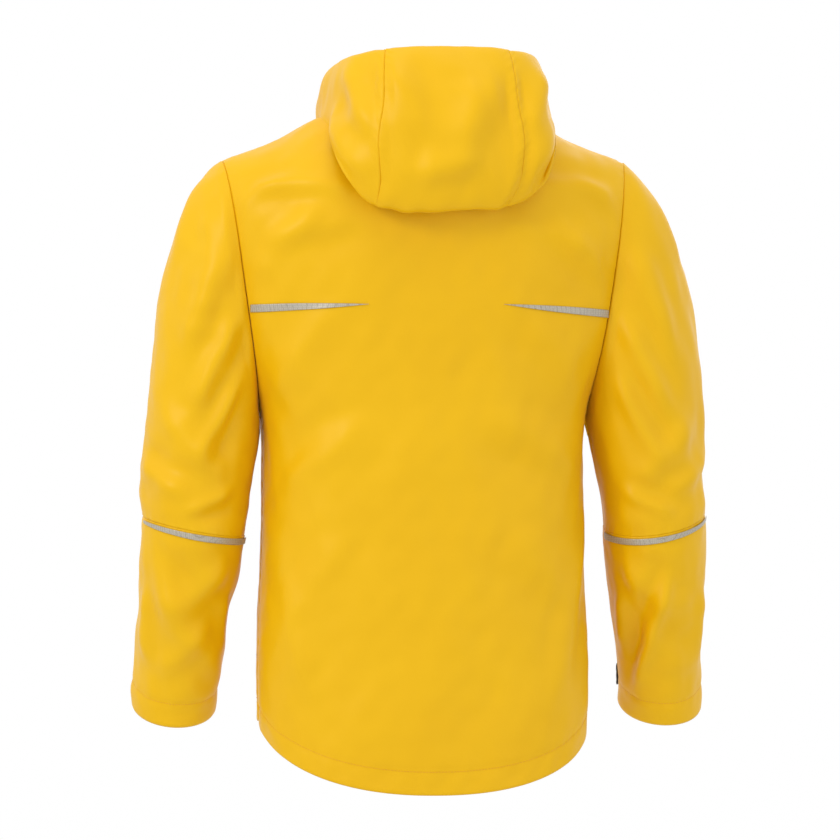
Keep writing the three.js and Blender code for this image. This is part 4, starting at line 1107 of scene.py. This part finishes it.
# ------------------------------------------------------------------ the sleeves
@dataclass
class Sleeve(Maker):
    """One sleeve: its upper and lower cloth, linings, reflective strip, cuff and cuff tab."""

    form: SleeveForm
    hand: Hand
    sides: int = 144
    cuff_stitch: float = 0.028        # stitched line above the edge of the cuff

    def ridings(self) -> tuple[Riding, Riding]:
        """Returns how cloth bends at the sleeve head and at the elbow."""
        s, word = self.hand.value, self.hand.word
        return (Riding(SHELL, f"{word}_upper_arm", (s * 0.209, 0, 0.576), (s * 0.2683, 0, 0.5671)),
                Riding(f"{word}_upper_arm", f"{word}_forearm", (s * 0.2645, -0.008, 0.303),
                       (s * 0.2660, -0.030, 0.225)))

    def tube(self, surface: Callable, along: Points, angles: Points | None = None) -> ClothGrid:
        """Returns a grid of the sleeve, the whole way round unless angles are given."""
        closed = angles is None
        turn = np.linspace(0, 2 * np.pi, self.sides, endpoint=False) if closed else angles
        points = mirrored(surface(turn[None, :], along[:, None]), self.hand)
        return ClothGrid(points, closed, self.hand is Hand.LEFT)

    def relief(self, grid: ClothGrid, lower: bool) -> Points:
        """Returns the height of the folds, fading out at the seams."""
        left = self.hand is Hand.LEFT
        shift = 0.012 if left else 0.0
        long = ((0.302, 0.03, 0.262, 0.243, -0.03, 0.128, 0.013, 0.0062) if left
                else (0.252, -0.015, 0.118, 0.279, 0.045, 0.248, 0.009, 0.0052, 0.9))
        below = (long,
                 (0.235, 0.03, 0.270, 0.290, 0.0, 0.205, 0.012, 0.0042),
                 (0.318, 0.0, 0.235, 0.300, -0.03, 0.150, 0.010, 0.0034),
                 (0.226, 0.01, 0.225, 0.245, -0.02, 0.165, 0.010, 0.0034),
                 (0.250, 0.03, 0.190, 0.300, -0.02, 0.140, 0.012, 0.0026),
                 (0.235, -0.07, 0.270, 0.300, -0.10, 0.190, 0.013, 0.0044),
                 (0.310, -0.07, 0.230, 0.240, -0.12, 0.150, 0.012, 0.0036))
        above = ((0.222, 0.07, 0.540, 0.275, 0.07, 0.430, 0.013, 0.0050),
                 (0.214, 0.07, 0.470, 0.268, 0.06, 0.375, 0.011, 0.0042),
                 (0.232, 0.06, 0.620, 0.285, 0.07, 0.500, 0.014, 0.0034),
                 (0.300, 0.04, 0.430 + shift, 0.240, 0.05, 0.345 + shift, 0.015, 0.0038),
                 (0.318, 0.0, 0.395 - shift, 0.268, 0.05, 0.335, 0.011, 0.0036),
                 (0.222, 0.05, 0.345, 0.280, 0.06, 0.318, 0.009, 0.0030),
                 (0.222, -0.07, 0.540, 0.275, -0.08, 0.430, 0.014, 0.0050),
                 (0.300, -0.05, 0.420, 0.238, -0.07, 0.340, 0.014, 0.0042),
                 (0.245, 0.0, 0.690, 0.300, 0.03, 0.610, 0.014, 0.0018))
        seed = 50 + 7 * self.hand.value + int(lower)
        ripples = (Ripple(0.0019, 0.055, 0.130, seed=seed),
                   Ripple(0.0005, 0.020, 0.040, 14, seed=seed + 20))
        height = relief_of(grid, ripples, below if lower else above, self.hand.value)
        return height * grid.edge_share(0.022)

    def build_upper(self) -> None:
        """Builds the upper tube of shell cloth."""
        word = self.hand.word
        upper = self.tube(self.form.upper, spaced(150, (True, True), 0.012))
        upper = ClothGrid(upper.points + np.array([0.0005, 0, 0]) * self.hand.value, True, upper.flip)
        self.sheet(f"sleeve_upper_cloth_{word}", upper, "shell_fabric", f"sleeve_upper_{word}",
                   riding=self.ridings()[0], relief=self.relief(upper, False),
                   seams=Seams(low_row=True, high_row=True, armhole_axis=0),
                   rests_on=("back_cloth",))

    def build_lower(self) -> tuple[ClothGrid, Points]:
        """Builds the lower tube and returns it with its folds, and how far it is from the cuff."""
        word = self.hand.word
        lower = self.tube(self.form.lower, spaced(110, (True, False), 0.014))
        run = run_length(lower.points[::-1])[::-1]
        turn = np.linspace(0, 2 * np.pi, self.sides, endpoint=False)[None, :]
        pull = 0.7 + 0.3 * np.sin(17 * turn + np.sin(5 * turn))
        relief = self.relief(lower, True)
        relief += -0.0012 * pull * np.exp(-((run - self.cuff_stitch) / 0.0035) ** 2)
        relief += -0.0012 * np.exp(-run / 0.0012)
        self.sheet(f"sleeve_lower_cloth_{word}", lower, "shell_fabric", f"sleeve_lower_{word}",
                   riding=self.ridings()[1], seams=Seams(low_row=True), relief=relief,
                   rests_on=(f"sleeve_upper_cloth_{word}",))
        return lower.lifted(relief), run

    def build_linings(self) -> None:
        """Builds the linings of the two tubes."""
        word, (head, elbow) = self.hand.word, self.ridings()
        for part, surface, span, riding in (("upper", self.form.upper, (0.03, 0.985), head),
                                            ("lower", self.form.lower, (0.02, 0.93), elbow)):
            grid = self.tube(surface, np.linspace(*span, 46))
            grid = ClothGrid(grid.points[:, ::2], True, grid.flip)
            depth = self.relief(grid, part == "lower") - 0.008
            self.sheet(f"sleeve_lining_cloth_{part}_{word}", grid.lifted(depth), "lining_fabric",
                       f"sleeve_lining_{part}_{word}", riding=riding, thickness=0.0008,
                       rests_on=(f"sleeve_{part}_cloth_{word}",))

    def build_strip(self, cloth: ClothGrid) -> None:
        """Builds the reflective crescent below the elbow seam."""
        share = np.linspace(0, 1, 73)
        angles = np.radians(mix(12, 172, share))
        length = self.form.elbow[2] - self.form.cuff[2]
        height = mix(0.0020, 0.0078, np.sqrt(share)) / length
        rows = np.linspace(0, 1, 8)[:, None]
        points = self.form.lower(angles[None, :], 0.010 + rows * height[None, :])
        strip = ClothGrid(mirrored(points, self.hand), False, self.hand is Hand.LEFT)
        self.sheet(f"elbow_tape_{self.hand.word}", lay_on(cloth, strip, 0.0013), "reflective_tape",
                   f"elbow_strip_{self.hand.word}", riding=self.ridings()[1], thickness=0.0006,
                   held="laid", rests_on=(f"sleeve_lower_cloth_{self.hand.word}",))

    def strap(self, cloth: ClothGrid, angles: tuple[float, float], span: tuple[float, float],
              clearance: float) -> ClothGrid:
        """Returns one layer with rounded corners that lies round the cuff."""
        columns, rows = 61, 12
        grid = self.tube(self.form.lower, np.linspace(*span, rows),
                         np.radians(np.linspace(*angles, columns)))
        across = np.abs(np.linspace(-1, 1, columns))[None, :]
        along = np.abs(np.linspace(-1, 1, rows))[:, None]
        laid = lay_on(cloth, grid, clearance)
        corner = np.clip((across - 0.93) / 0.07, 0, 1)
        middle = laid.points.mean(0, keepdims=True)
        pinch = 1 - 0.35 * (1 - np.sqrt(1 - corner ** 2)) * along
        shaped = ClothGrid(middle + (laid.points - middle) * pinch[..., None], False, grid.flip)
        edge = np.clip((along - 0.8) / 0.2, 0, 1) ** 2 + np.clip((across - 0.97) / 0.03, 0, 1) ** 2
        return shaped.lifted(-0.0006 * np.clip(edge, 0, 1))

    def build_cuff(self, cloth: ClothGrid, run: Points) -> None:
        """Builds the cuff's stitched line, its tab and the hook and loop below the tab."""
        word = self.hand.word
        forearm, tab = f"{word}_forearm", f"{word}_cuff_tab"
        line = tuple(np.concatenate([a, a[:2]]) for a in crossing(cloth, run, self.cuff_stitch))
        self.fixed(stitches(f"cuff_stitching_{word}", [line], self.finishes["thread"]),
                   "shell_fabric", forearm)
        for name, node, angles, span, clearance, slot, body, thickness in (
                ("tab_strap", "tab", (205, 325), (0.82, 0.95), 0.0046, "dark_rubber", tab, 0.0016),
                ("loop_pile", "loop_patch", (240, 322), (0.835, 0.935), 0.0012, "hook_and_loop",
                 forearm, 0.0009),
                ("hook_pile", "hook_patch", (288, 320), (0.835, 0.935), 0.0026, "hook_and_loop",
                 tab, 0.0009)):
            self.sheet(f"cuff_{name}_{word}", self.strap(cloth, angles, span, clearance), slot,
                       f"cuff_{node}_{word}", riding=Riding(body), thickness=thickness,
                       held="laid", rests_on=(f"sleeve_lower_cloth_{word}",))

    def build(self) -> None:
        """Builds the whole sleeve."""
        self.build_upper()
        cloth, run = self.build_lower()
        self.build_linings()
        self.build_strip(cloth)
        self.build_cuff(cloth, run)


# ------------------------------------------------------------------ the collar and the hood
@dataclass
class Collar(Maker):
    """The standing collar and its lining."""

    height: float = 0.058
    lean: float = 0.005
    stand: float = 0.0008

    def surface(self, around: Points, up: Points) -> Points:
        """Returns points; around runs -1 to 1 from front to front, up from 0 to 1."""
        around, up = np.broadcast_arrays(around, up)
        base = self.form.neckline(np.abs(around), ZIP_EDGE)
        settle = np.clip(4 * (1 - np.abs(around)), 0, 1)
        lean = 1 - self.lean * up * settle / self.form.neck_half
        x = base[..., 0] * np.where(around < 0, -1, 1) * lean
        return np.stack([x, base[..., 1] * lean, base[..., 2] + self.stand + self.height * up], -1)

    def build(self) -> None:
        """Builds the collar's two layers."""
        grid = ClothGrid(self.surface(both_ways(110)[None, :], spaced(34)[:, None]), flip=True)
        relief = Ripple(0.0010, 0.04, 0.09, seed=81).lift(grid.points) * grid.edge_share(0.012)
        self.sheet("collar_cloth", grid, "shell_fabric", "collar_outer", relief=relief,
                   seams=Seams(low_row=True, low_column=True, high_column=True),
                   rests_on=("back_cloth",))
        around, up = np.linspace(-0.985, 0.985, 161), np.linspace(0.0, 0.96, 22)
        inner = ClothGrid(self.surface(around[None, :], up[:, None]), flip=True)
        depth = -0.004 + Ripple(0.0006, 0.04, 0.09, seed=82).lift(inner.points)
        self.sheet("collar_lining_cloth", inner.lifted(depth), "lining_fabric", "collar_lining",
                   thickness=0.0009, rests_on=("collar_cloth",))


@dataclass
class Hood(Maker):
    """The hood: three outer panels, the cloth that joins it to the neck, and its lining."""

    form: HoodForm
    gap: float = math.radians(0.12)
    front_end: tuple[float, float, float] = (0.079, -0.080, 0.757)

    def relief(self, grid: ClothGrid) -> Points:
        """Returns soft dimples and drag lines of the lying hood."""
        folds = ((0.062, 0.16, 0.835, 0.020, 0.18, 0.745, 0.020, 0.0036),
                 (-0.070, 0.16, 0.820, -0.020, 0.18, 0.735, 0.022, 0.0034),
                 (0.130, 0.08, 0.775, 0.080, 0.14, 0.700, 0.016, 0.0046),
                 (-0.130, 0.08, 0.775, -0.082, 0.14, 0.705, 0.016, 0.0042),
                 (0.118, 0.10, 0.825, 0.082, 0.15, 0.750, 0.016, 0.0036),
                 (-0.120, 0.10, 0.820, -0.088, 0.15, 0.745, 0.015, 0.0036),
                 (-0.045, 0.17, 0.720, 0.040, 0.17, 0.700, 0.016, 0.0032))
        ripples = (Ripple(0.0024, 0.050, 0.110, seed=91), Ripple(0.0006, 0.020, 0.040, 14, seed=92))
        ridge = 1 - 0.65 * smooth((grid.points[..., 2] - 0.800) / 0.030)
        return relief_of(grid, ripples, folds, fade=ridge)

    def towards_front(self, along: Points, reach: Points, hand: Hand) -> Points:
        """Returns the hood's end drawn forwards round the collar and in to the neck seam."""
        end = self.form.surface(np.array([hand.value * self.form.end_angle]), along)
        middle = end.mean(0, keepdims=True)
        goal = mirrored(np.array(self.front_end)[None, None, :], hand) + 0.20 * (end - middle)
        share = smooth(reach)[..., None]
        bulge = mirrored(np.array([0.020, -0.012, 0.0]), hand) * np.sin(np.pi * reach)[..., None]
        return mix(end, goal, share) + bulge

    def side_grid(self, hand: Hand, along: Points, columns: int) -> ClothGrid:
        """Returns a side panel from the hood seam round to the front of the neck."""
        angle = mix(self.form.seam_angle + self.gap, self.form.end_angle, spaced(columns, (True, False)))
        rear = self.form.surface(hand.value * angle[None, :], along[:, None])
        reach = np.linspace(0, 1, 34)[1:]
        front = np.concatenate([self.towards_front(along[:, None], np.full((1, 1), r), hand)
                                for r in reach], 1)
        points = np.concatenate([rear, front], 1)
        for _ in range(30):
            points[:, 1:-1] += 0.5 * (points[:, :-2] + points[:, 2:] - 2 * points[:, 1:-1]) * 0.9
            points[1:-1, 1:] += 0.25 * (points[:-2, 1:] + points[2:, 1:] - 2 * points[1:-1, 1:])
        return ClothGrid(points, False, hand is Hand.LEFT)

    def build(self) -> None:
        """Builds every layer of the hood."""
        along = spaced(150, (False, False))
        angle = mix(-self.form.seam_angle + self.gap, self.form.seam_angle - self.gap, spaced(70))
        centre = ClothGrid(self.form.surface(angle[None, :], along[:, None]), flip=True)
        self.sheet("hood_centre_cloth", centre, "shell_fabric", "hood_centre_panel",
                   riding=Riding(HOOD), relief=self.relief(centre) * centre.edge_share(0.014),
                   seams=Seams(low_column=True, high_column=True), rests_on=("back_cloth",))
        for hand in Hand:
            side = self.side_grid(hand, along, 84)
            self.sheet(f"hood_side_cloth_{hand.word}", side, "shell_fabric",
                       f"hood_side_{hand.word}",
                       riding=Riding(SHELL, HOOD, (0, -0.075, 0.76), (0, 0.0, 0.76)),
                       relief=self.relief(side) * side.edge_share(0.014),
                       seams=Seams(low_column=True), rests_on=("back_cloth", "collar_cloth"))
        turn, along = np.linspace(-1, 1, 121) * math.radians(52), np.linspace(0.03, 0.985, 96)
        inside = ClothGrid(self.form.surface(turn[None, :], along[:, None]), flip=True)
        narrow = smooth((np.abs(turn) - math.radians(34)) / math.radians(26))[None, :]
        depth = self.relief(inside) - mix(0.0075, 0.0024, narrow)
        self.sheet("hood_lining_cloth", inside.lifted(depth), "lining_fabric", "hood_lining",
                   riding=Riding(HOOD), thickness=0.0009, rests_on=("hood_centre_cloth",))
        self.build_neck()

    def build_neck(self) -> None:
        """Builds the cloth between the neck seam and the hood's inner wall."""
        turn = np.linspace(-1, 1, 81) * math.radians(86)
        wall = self.form.surface(turn[None, :], np.zeros((1, 1)))[0]
        body = self.form.body
        neck = body.neckline(np.abs(turn) / np.pi, ZIP_EDGE)
        neck[:, 0] *= np.sign(turn)
        neck += np.stack([0.004 * np.sin(turn), 0.004 * np.cos(turn), 0 * turn + 0.002], -1)
        points = mix(neck[None], wall[None], np.linspace(0, 1, 24)[:, None, None])
        over = body.surface_y(points[..., 0], points[..., 2] - 0.003, 1) + 0.006
        below = points[..., 2] - 0.003 < body.shoulder_z(points[..., 0])
        points[..., 1] = np.where(below, np.maximum(points[..., 1], over), points[..., 1])
        self.sheet("hood_neck_cloth", ClothGrid(points), "shell_fabric", "hood_neck_band",
                   riding=Riding(SHELL, HOOD, (0, 0.10, 0.770), (0, 0.10, 0.722)),
                   rests_on=("back_cloth",))


# ------------------------------------------------------------------ zips and small parts
@dataclass
class Tooth:
    """One moulded zip tooth: a bevelled bar with a narrower neck, modelled once and copied."""

    width: float
    depth: float
    height: float

    def template(self) -> tuple[Points, list]:
        """Returns the corners and faces of one tooth, its root at x = 0 and its head outwards."""
        bpy.ops.object.select_all(action="DESELECT")
        bpy.ops.mesh.primitive_cube_add(size=1)
        tooth = bpy.context.object
        bpy.ops.object.mode_set(mode="EDIT")
        bpy.ops.transform.resize(value=(self.width, self.depth, self.height), center_override=(0, 0, 0))
        bpy.ops.transform.translate(value=(self.width / 2, 0, 0))
        bpy.ops.object.mode_set(mode="OBJECT")
        for polygon in tooth.data.polygons:
            polygon.select = polygon.normal.x > 0.9
        bpy.ops.object.mode_set(mode="EDIT")
        bpy.ops.mesh.select_mode(type="FACE")
        bpy.ops.transform.resize(value=(1, 0.8, 1.25), center_override=(self.width, 0, 0))
        bpy.ops.mesh.select_all(action="SELECT")
        bpy.ops.mesh.bevel(offset=min(self.height, self.depth) * 0.18, segments=2)
        bpy.ops.object.mode_set(mode="OBJECT")
        corners = np.array([v.co[:] for v in tooth.data.vertices])
        faces = [list(p.vertices) for p in tooth.data.polygons]
        bpy.data.objects.remove(tooth)
        return corners, faces

    def row(self, name: str, places: Sequence[Points], facing: Sequence[int],
            turn: float, material: bpy.types.Material) -> bpy.types.Object:
        """Returns a row of teeth as one piece, each facing left or right and turned about Z."""
        corners, faces = self.template()
        cos, sin = math.cos(turn), math.sin(turn)
        spin = np.array([[cos, sin, 0], [-sin, cos, 0], [0, 0, 1]])
        points, polygons = [], []
        for number, (place, side) in enumerate(zip(places, facing)):
            points.append((corners * np.array([side, 1, 1])) @ spin + place)
            base = number * len(corners)
            polygons += [[base + k for k in (face if side > 0 else face[::-1])] for face in faces]
        return new_piece(name, np.concatenate(points), polygons, material)


@dataclass
class MainZip(Maker):
    """The front zip: its two tapes and their teeth, and the guards behind it."""

    tape_edges: tuple[float, float] = (0.0016, 0.0195)       # distances from the centre line
    sewn_x: float = 0.012             # where the tape starts to sink below the front
    tooth_x: float = 0.0050
    pitch: float = 0.0030

    def flat(self, x: Sequence[float], z: Sequence[float], y: float, columns: int,
             rows: int, wave: float = 0.0) -> ClothGrid:
        """Returns an upright flat strip that faces forwards, with a slight wave."""
        across, up = np.meshgrid(np.linspace(*x, columns), np.linspace(*z, rows))
        deep = y + wave * np.sin(up * 37) * np.cos(across * 90)
        return ClothGrid(np.stack([across, deep, up], -1))

    def build(self) -> None:
        """Builds the zip and its guards."""
        for hand in Hand:
            s, word = hand.value, hand.word
            low, high = node_box(f"main_zip_{word}")
            y = (low[1] + high[1]) / 2
            tape = self.flat(sorted(s * x for x in self.tape_edges), (low[2], high[2]), y + 0.0006, 10, 160)
            tape.points[..., 1] += 0.0022 * smooth((np.abs(tape.points[..., 0]) - self.sewn_x) / 0.004)
            self.sheet(f"main_zip_tape_{word}", tape, "zip_tape", f"main_zip_{word}",
                       thickness=0.0009, rests_on=(f"front_cloth_{word}",))
            heights = np.arange(low[2] + 0.002, high[2] - 0.001, self.pitch)
            heights = heights + (self.pitch / 2 if hand is Hand.RIGHT else 0)
            places = [np.array([s * self.tooth_x, y, z]) for z in heights]
            teeth = Tooth(0.0056, 0.0027, 0.0013).row(f"main_zip_teeth_{word}", places,
                                                      [-s] * len(places), 0.0,
                                                      self.finishes["dark_rubber"])
            self.fixed(teeth, "zip_tape")
        for node, name, slot, columns, rows, wave in (
                ("inner_zip_guard", "zip_guard_cloth", "shell_fabric", 24, 130, 0.0006),
                ("chin_guard", "chin_guard_tricot", "brushed_tricot", 20, 20, 0.0003)):
            low, high = node_box(node)
            guard = self.flat((low[0], high[0]), (low[2], high[2]), low[1], columns, rows, wave)
            self.sheet(name, guard, slot, node, thickness=0.0012, rests_on=("main_zip_tape_left",))


@dataclass
class HandPocket(Maker):
    """A hand pocket: welt lips, zip tape and teeth, and the bag behind."""

    hand: Hand
    bottom_z: float = 0.176
    length: float = 0.170
    stand: float = 0.0042
    pitch: float = 0.0025
    bag_width: float = 0.110
    bag_inner: float = 0.68           # share of the bag's width that lies inwards of the zip
    bag_drop: float = 0.040

    def turn(self) -> float:
        """Returns how far the cloth at the pocket turns away from straight ahead."""
        z = self.bottom_z + self.length / 2
        ends = self.form.surface_y(np.array([POCKET_X + 0.008, POCKET_X - 0.008]), np.full(2, z), -1)
        return self.hand.value * math.atan2(float(ends[0] - ends[1]), 0.016)

    def placed(self, points: Points) -> Points:
        """Returns points drawn at the pocket's own middle line, moved onto the pocket."""
        z = np.array([self.bottom_z, self.bottom_z + self.length])
        y = float(self.form.surface_y(np.full(2, POCKET_X), z, -1).min())
        cos, sin = math.cos(self.turn()), math.sin(self.turn())
        x = cos * points[..., 0] - sin * points[..., 1] + self.hand.value * POCKET_X
        return np.stack([x, sin * points[..., 0] + cos * points[..., 1] + y, points[..., 2]], -1)

    def build_lips(self, cloth: ClothGrid, top: float) -> None:
        """Builds the welt lips at both sides of the zip."""
        word, up = self.hand.word, np.linspace(self.bottom_z - 0.010, top + 0.010, 120)
        u, v = np.linspace(0, 1, 22)[None, :], up[:, None]
        reach = 0.0165 - 0.0132 * u
        rise = (self.stand - 0.0008) * smooth(u * 1.15)
        rise = rise + 0.0007 * np.sin(np.pi * np.clip(u * 1.3 - 0.3, 0, 1))
        ends = smooth((v - up[0]) / 0.011) * smooth((up[-1] - v) / 0.011)
        wave = 0.0003 * np.sin(v * 260 + 1.7 * np.sin(v * 71)) * smooth(u * 2)
        share = (smooth(u * 4) * ends)[..., None]
        for side, label in ((-1, "inner"), (1, "outer")):
            flat = np.stack([side * (reach + 0 * v), -(rise * ends + wave) + 0 * u, v + 0 * u], -1)
            lip = ClothGrid(self.placed(flat), flip=side > 0)
            low = lay_on(cloth, lip, 0.0006)
            lip = ClothGrid(mix(low.points, lip.points, share), flip=side > 0)
            self.sheet(f"pocket_welt_{label}_{word}", lip, "shell_fabric", thickness=0.0010,
                       held="laid", rests_on=(f"front_cloth_{word}",))

    def build(self, cloth: ClothGrid) -> None:
        """Builds the pocket on the front cloth."""
        word, top, front = self.hand.word, self.bottom_z + self.length, f"front_cloth_{self.hand.word}"
        self.build_lips(cloth, top)
        across, height = np.meshgrid(np.linspace(-0.0062, 0.0062, 12), np.linspace(self.bottom_z, top, 60))
        tape = ClothGrid(self.placed(np.stack([across, 0 * across - self.stand + 0.0012, height], -1)))
        self.sheet(f"pocket_zip_tape_{word}", tape, "zip_tape", f"pocket_zip_{word}",
                   thickness=0.0008, rests_on=(front,))
        heights = np.arange(self.bottom_z + 0.004, top - 0.004, self.pitch / 2)
        facing = [1 if k % 2 else -1 for k in range(len(heights))]
        spots = np.stack([[-0.0024 * f, -self.stand, z] for f, z in zip(facing, heights)])
        teeth = Tooth(0.0036, 0.0017, 0.0009).row(f"pocket_zip_teeth_{word}", self.placed(spots),
                                                  facing, self.turn(), self.finishes["dark_rubber"])
        self.fixed(teeth, "zip_tape")
        x = POCKET_X - self.bag_inner * self.bag_width + self.bag_width * np.linspace(0, 1, 30)[None, :]
        x, z = np.broadcast_arrays(x, np.linspace(self.bottom_z - self.bag_drop, top, 50)[:, None])
        flat = ClothGrid(np.stack([self.hand.value * x, self.form.surface_y(x, z, -1), z], -1),
                         flip=self.hand is Hand.RIGHT)
        self.sheet(f"pocket_bag_cloth_{word}", lay_on(cloth, flat, -0.0030), "lining_fabric",
                   f"pocket_bag_{word}", thickness=0.0012, rests_on=(front,))


@dataclass
class Trim(Maker):
    """Back tapes, hanging loop and its patch."""

    strip_z: float = 0.549
    strip_tip: float = 0.077
    strip_height: float = 0.0086
    loop_bow: float = 0.0130

    def build_back_tape(self, hand: Hand, cloth: ClothGrid) -> None:
        """Builds one reflective tape from the armhole seam to its point on the shoulder blade."""
        outer = float(self.form.armhole_x(np.array(self.strip_z))) - 0.0022
        share = np.linspace(0, 1, 110)[None, :]
        up = np.linspace(-1, 1, 10)[:, None]
        half = self.strip_height / 2 * np.maximum(0.05, 1 - share ** 2.2)
        x = hand.value * mix(outer, self.strip_tip, share) + 0 * up
        start, climb = (0.0025, 0.0045) if hand is Hand.LEFT else (-0.0030, 0.0100)
        z = self.strip_z + start + up * half + climb * share
        flat = ClothGrid(np.stack([x, self.form.surface_y(x, z, 1), z], -1), flip=hand is Hand.RIGHT)
        self.sheet(f"back_tape_{hand.word}", lay_on(cloth, flat, 0.0013), "reflective_tape",
                   f"back_strip_{hand.word}", thickness=0.0006, held="laid", rests_on=("back_cloth",))

    def build_loop(self) -> None:
        """Builds the bowed webbing loop and the patch that it is sewn to."""
        low, high = node_box("hang_loop")
        share, up = np.meshgrid(np.linspace(-1, 1, 49), np.linspace(low[2], high[2], 7))
        y = high[1] - 0.0015 - self.loop_bow * (1 - share ** 4)
        self.sheet("hang_loop_webbing", ClothGrid(np.stack([high[0] * share, y, up], -1)), "webbing",
                   "hang_loop", thickness=0.0014, rests_on=("neck_patch_tricot",))
        low, high = node_box("neck_patch")
        x, z = np.meshgrid(np.linspace(low[0], high[0], 30), np.linspace(low[2], high[2], 14))
        self.sheet("neck_patch_tricot", ClothGrid(np.stack([x, 0 * x + low[1], z], -1)),
                   "brushed_tricot", "neck_patch", thickness=0.0011,
                   rests_on=("collar_lining_cloth",))

    def dress_hard(self) -> None:
        """Gives every CAD node its finish; those that still show are the metal and moulded ones."""
        kinds = (("eyelet", "metal"), ("slider", "metal"), ("pull", "dark_rubber"),
                 ("retainer", "dark_rubber"), ("zip", "webbing"), ("strip", "reflective_tape"),
                 ("lining", "lining_fabric"), ("bag", "lining_fabric"), ("hang_loop", "webbing"),
                 ("cuff", "dark_rubber"), ("patch", "brushed_tricot"), ("chin", "brushed_tricot"))
        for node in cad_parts:
            name = node if isinstance(node, str) else node["name"]
            slot = next((slot for word, slot in kinds if word in name), "shell_fabric")
            mesh = bpy.data.objects[name].data
            mesh.materials.clear()
            mesh.materials.append(self.finishes[slot])


# ------------------------------------------------------------------ the studio
@dataclass
class Studio:
    """A white room with soft light, and the camera behind the jacket."""

    azimuth: float = 172.0
    distance: float = 10.0
    target: tuple[float, float, float] = (0.0074, 0.0, -0.3390)
    frame_width: float = 0.9576
    floor_drop: float = 0.45          # how far the floor lies below the tail

    def aimed(self, name: str, data: bpy.types.ID, place: Vector) -> bpy.types.Object:
        """Returns a new lamp or camera at a place, looking at the jacket."""
        thing = bpy.data.objects.new(name, data)
        thing.location = place
        thing.rotation_euler = (Vector(self.target) - place).to_track_quat("-Z", "Y").to_euler()
        bpy.context.scene.collection.objects.link(thing)
        return thing

    def build_floor(self) -> None:
        """Builds the pale floor."""
        paint = NodeSheet("matt white paint, rolled")
        tone = paint.tone(paint.noise(30.0), linear_colour("#E6E6E6"), linear_colour("#E0E0E0"))
        bpy.ops.object.select_all(action="DESELECT")
        bpy.ops.mesh.primitive_plane_add(
            size=14, location=(0, 0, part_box("back_panel")[0].z - self.floor_drop))
        floor = bpy.context.object
        floor.name = "floor"
        floor.data.materials.append(paint.shaded(Base_Color=tone, Roughness=0.9))

    def build_world(self) -> None:
        """Builds the white surroundings, darker below the horizon."""
        world = bpy.data.worlds.new("white room")
        world.use_nodes = True
        room = NodeTree(world.node_tree)
        height = room.add("SeparateXYZ", i0=room.add("TexCoord").outputs["Generated"])
        band = room.add("MapRange", {"interpolation_type": "SMOOTHSTEP"}, Value=height.outputs["Z"],
                        From_Min=-0.65, From_Max=-0.03, To_Min=0.08, To_Max=1.0)
        room.put(world.node_tree.nodes["Background"], Strength=band.outputs[0],
                 Color=linear_colour("#FFFFFF"))
        bpy.context.scene.world = world

    def build(self) -> None:
        """Builds floor, light and camera."""
        self.build_floor()
        self.build_world()
        side, centre = math.radians(self.azimuth), Vector(self.target)
        back = Vector((math.sin(side), -math.cos(side), 0))
        right = Vector((math.cos(side), math.sin(side), 0))
        for name, behind, beside, above, size, power in (
                ("key", 2.2, -2.0, 1.7, 0.9, 28), ("fill", 2.4, 2.2, 0.3, 1.8, 3),
                ("top", 0.4, 0.0, 2.6, 1.4, 8), ("front", -2.6, 0.8, 1.2, 2.0, 9)):
            light = bpy.data.lights.new(name, "AREA")
            light.size, light.energy = size, power
            self.aimed(name, light, centre + behind * back + beside * right + Vector((0, 0, above)))
        camera = bpy.data.cameras.new("camera")
        camera.lens = camera.sensor_width * self.distance / self.frame_width
        bpy.context.scene.camera = self.aimed("camera", camera, centre + self.distance * back)
        bpy.context.scene.view_settings.view_transform = "Standard"


def main() -> None:
    """Builds the jacket, piece by piece, then the studio."""
    logging.basicConfig(level=logging.INFO, format="%(name)s %(message)s")
    finishes, form = make_finishes(), BodyForm()
    trim = Trim(form, finishes)
    trim.dress_hard()
    body = Body(form, finishes)
    body.build()
    sleeve_forms = {
        Hand.LEFT: SleeveForm(form, top_reach=0.104, elbow=(0.2620, -0.008, 0.305)),
        Hand.RIGHT: SleeveForm(form, top_reach=0.122, elbow=(0.2700, -0.008, 0.311),
                               elbow_sag=0.017, cuff=(0.2870, -0.070, 0.097)),
    }
    for hand in Hand:
        Sleeve(sleeve_forms[hand], finishes, hand).build()
        trim.build_back_tape(hand, body.cloths["back"])
        HandPocket(form, finishes, hand).build(body.cloths[hand.word])
    Collar(form, finishes).build()
    Hood(HoodForm(form), finishes).build()
    MainZip(form, finishes).build()
    trim.build_loop()
    Studio().build()


if __name__ == "__main__":
    main()
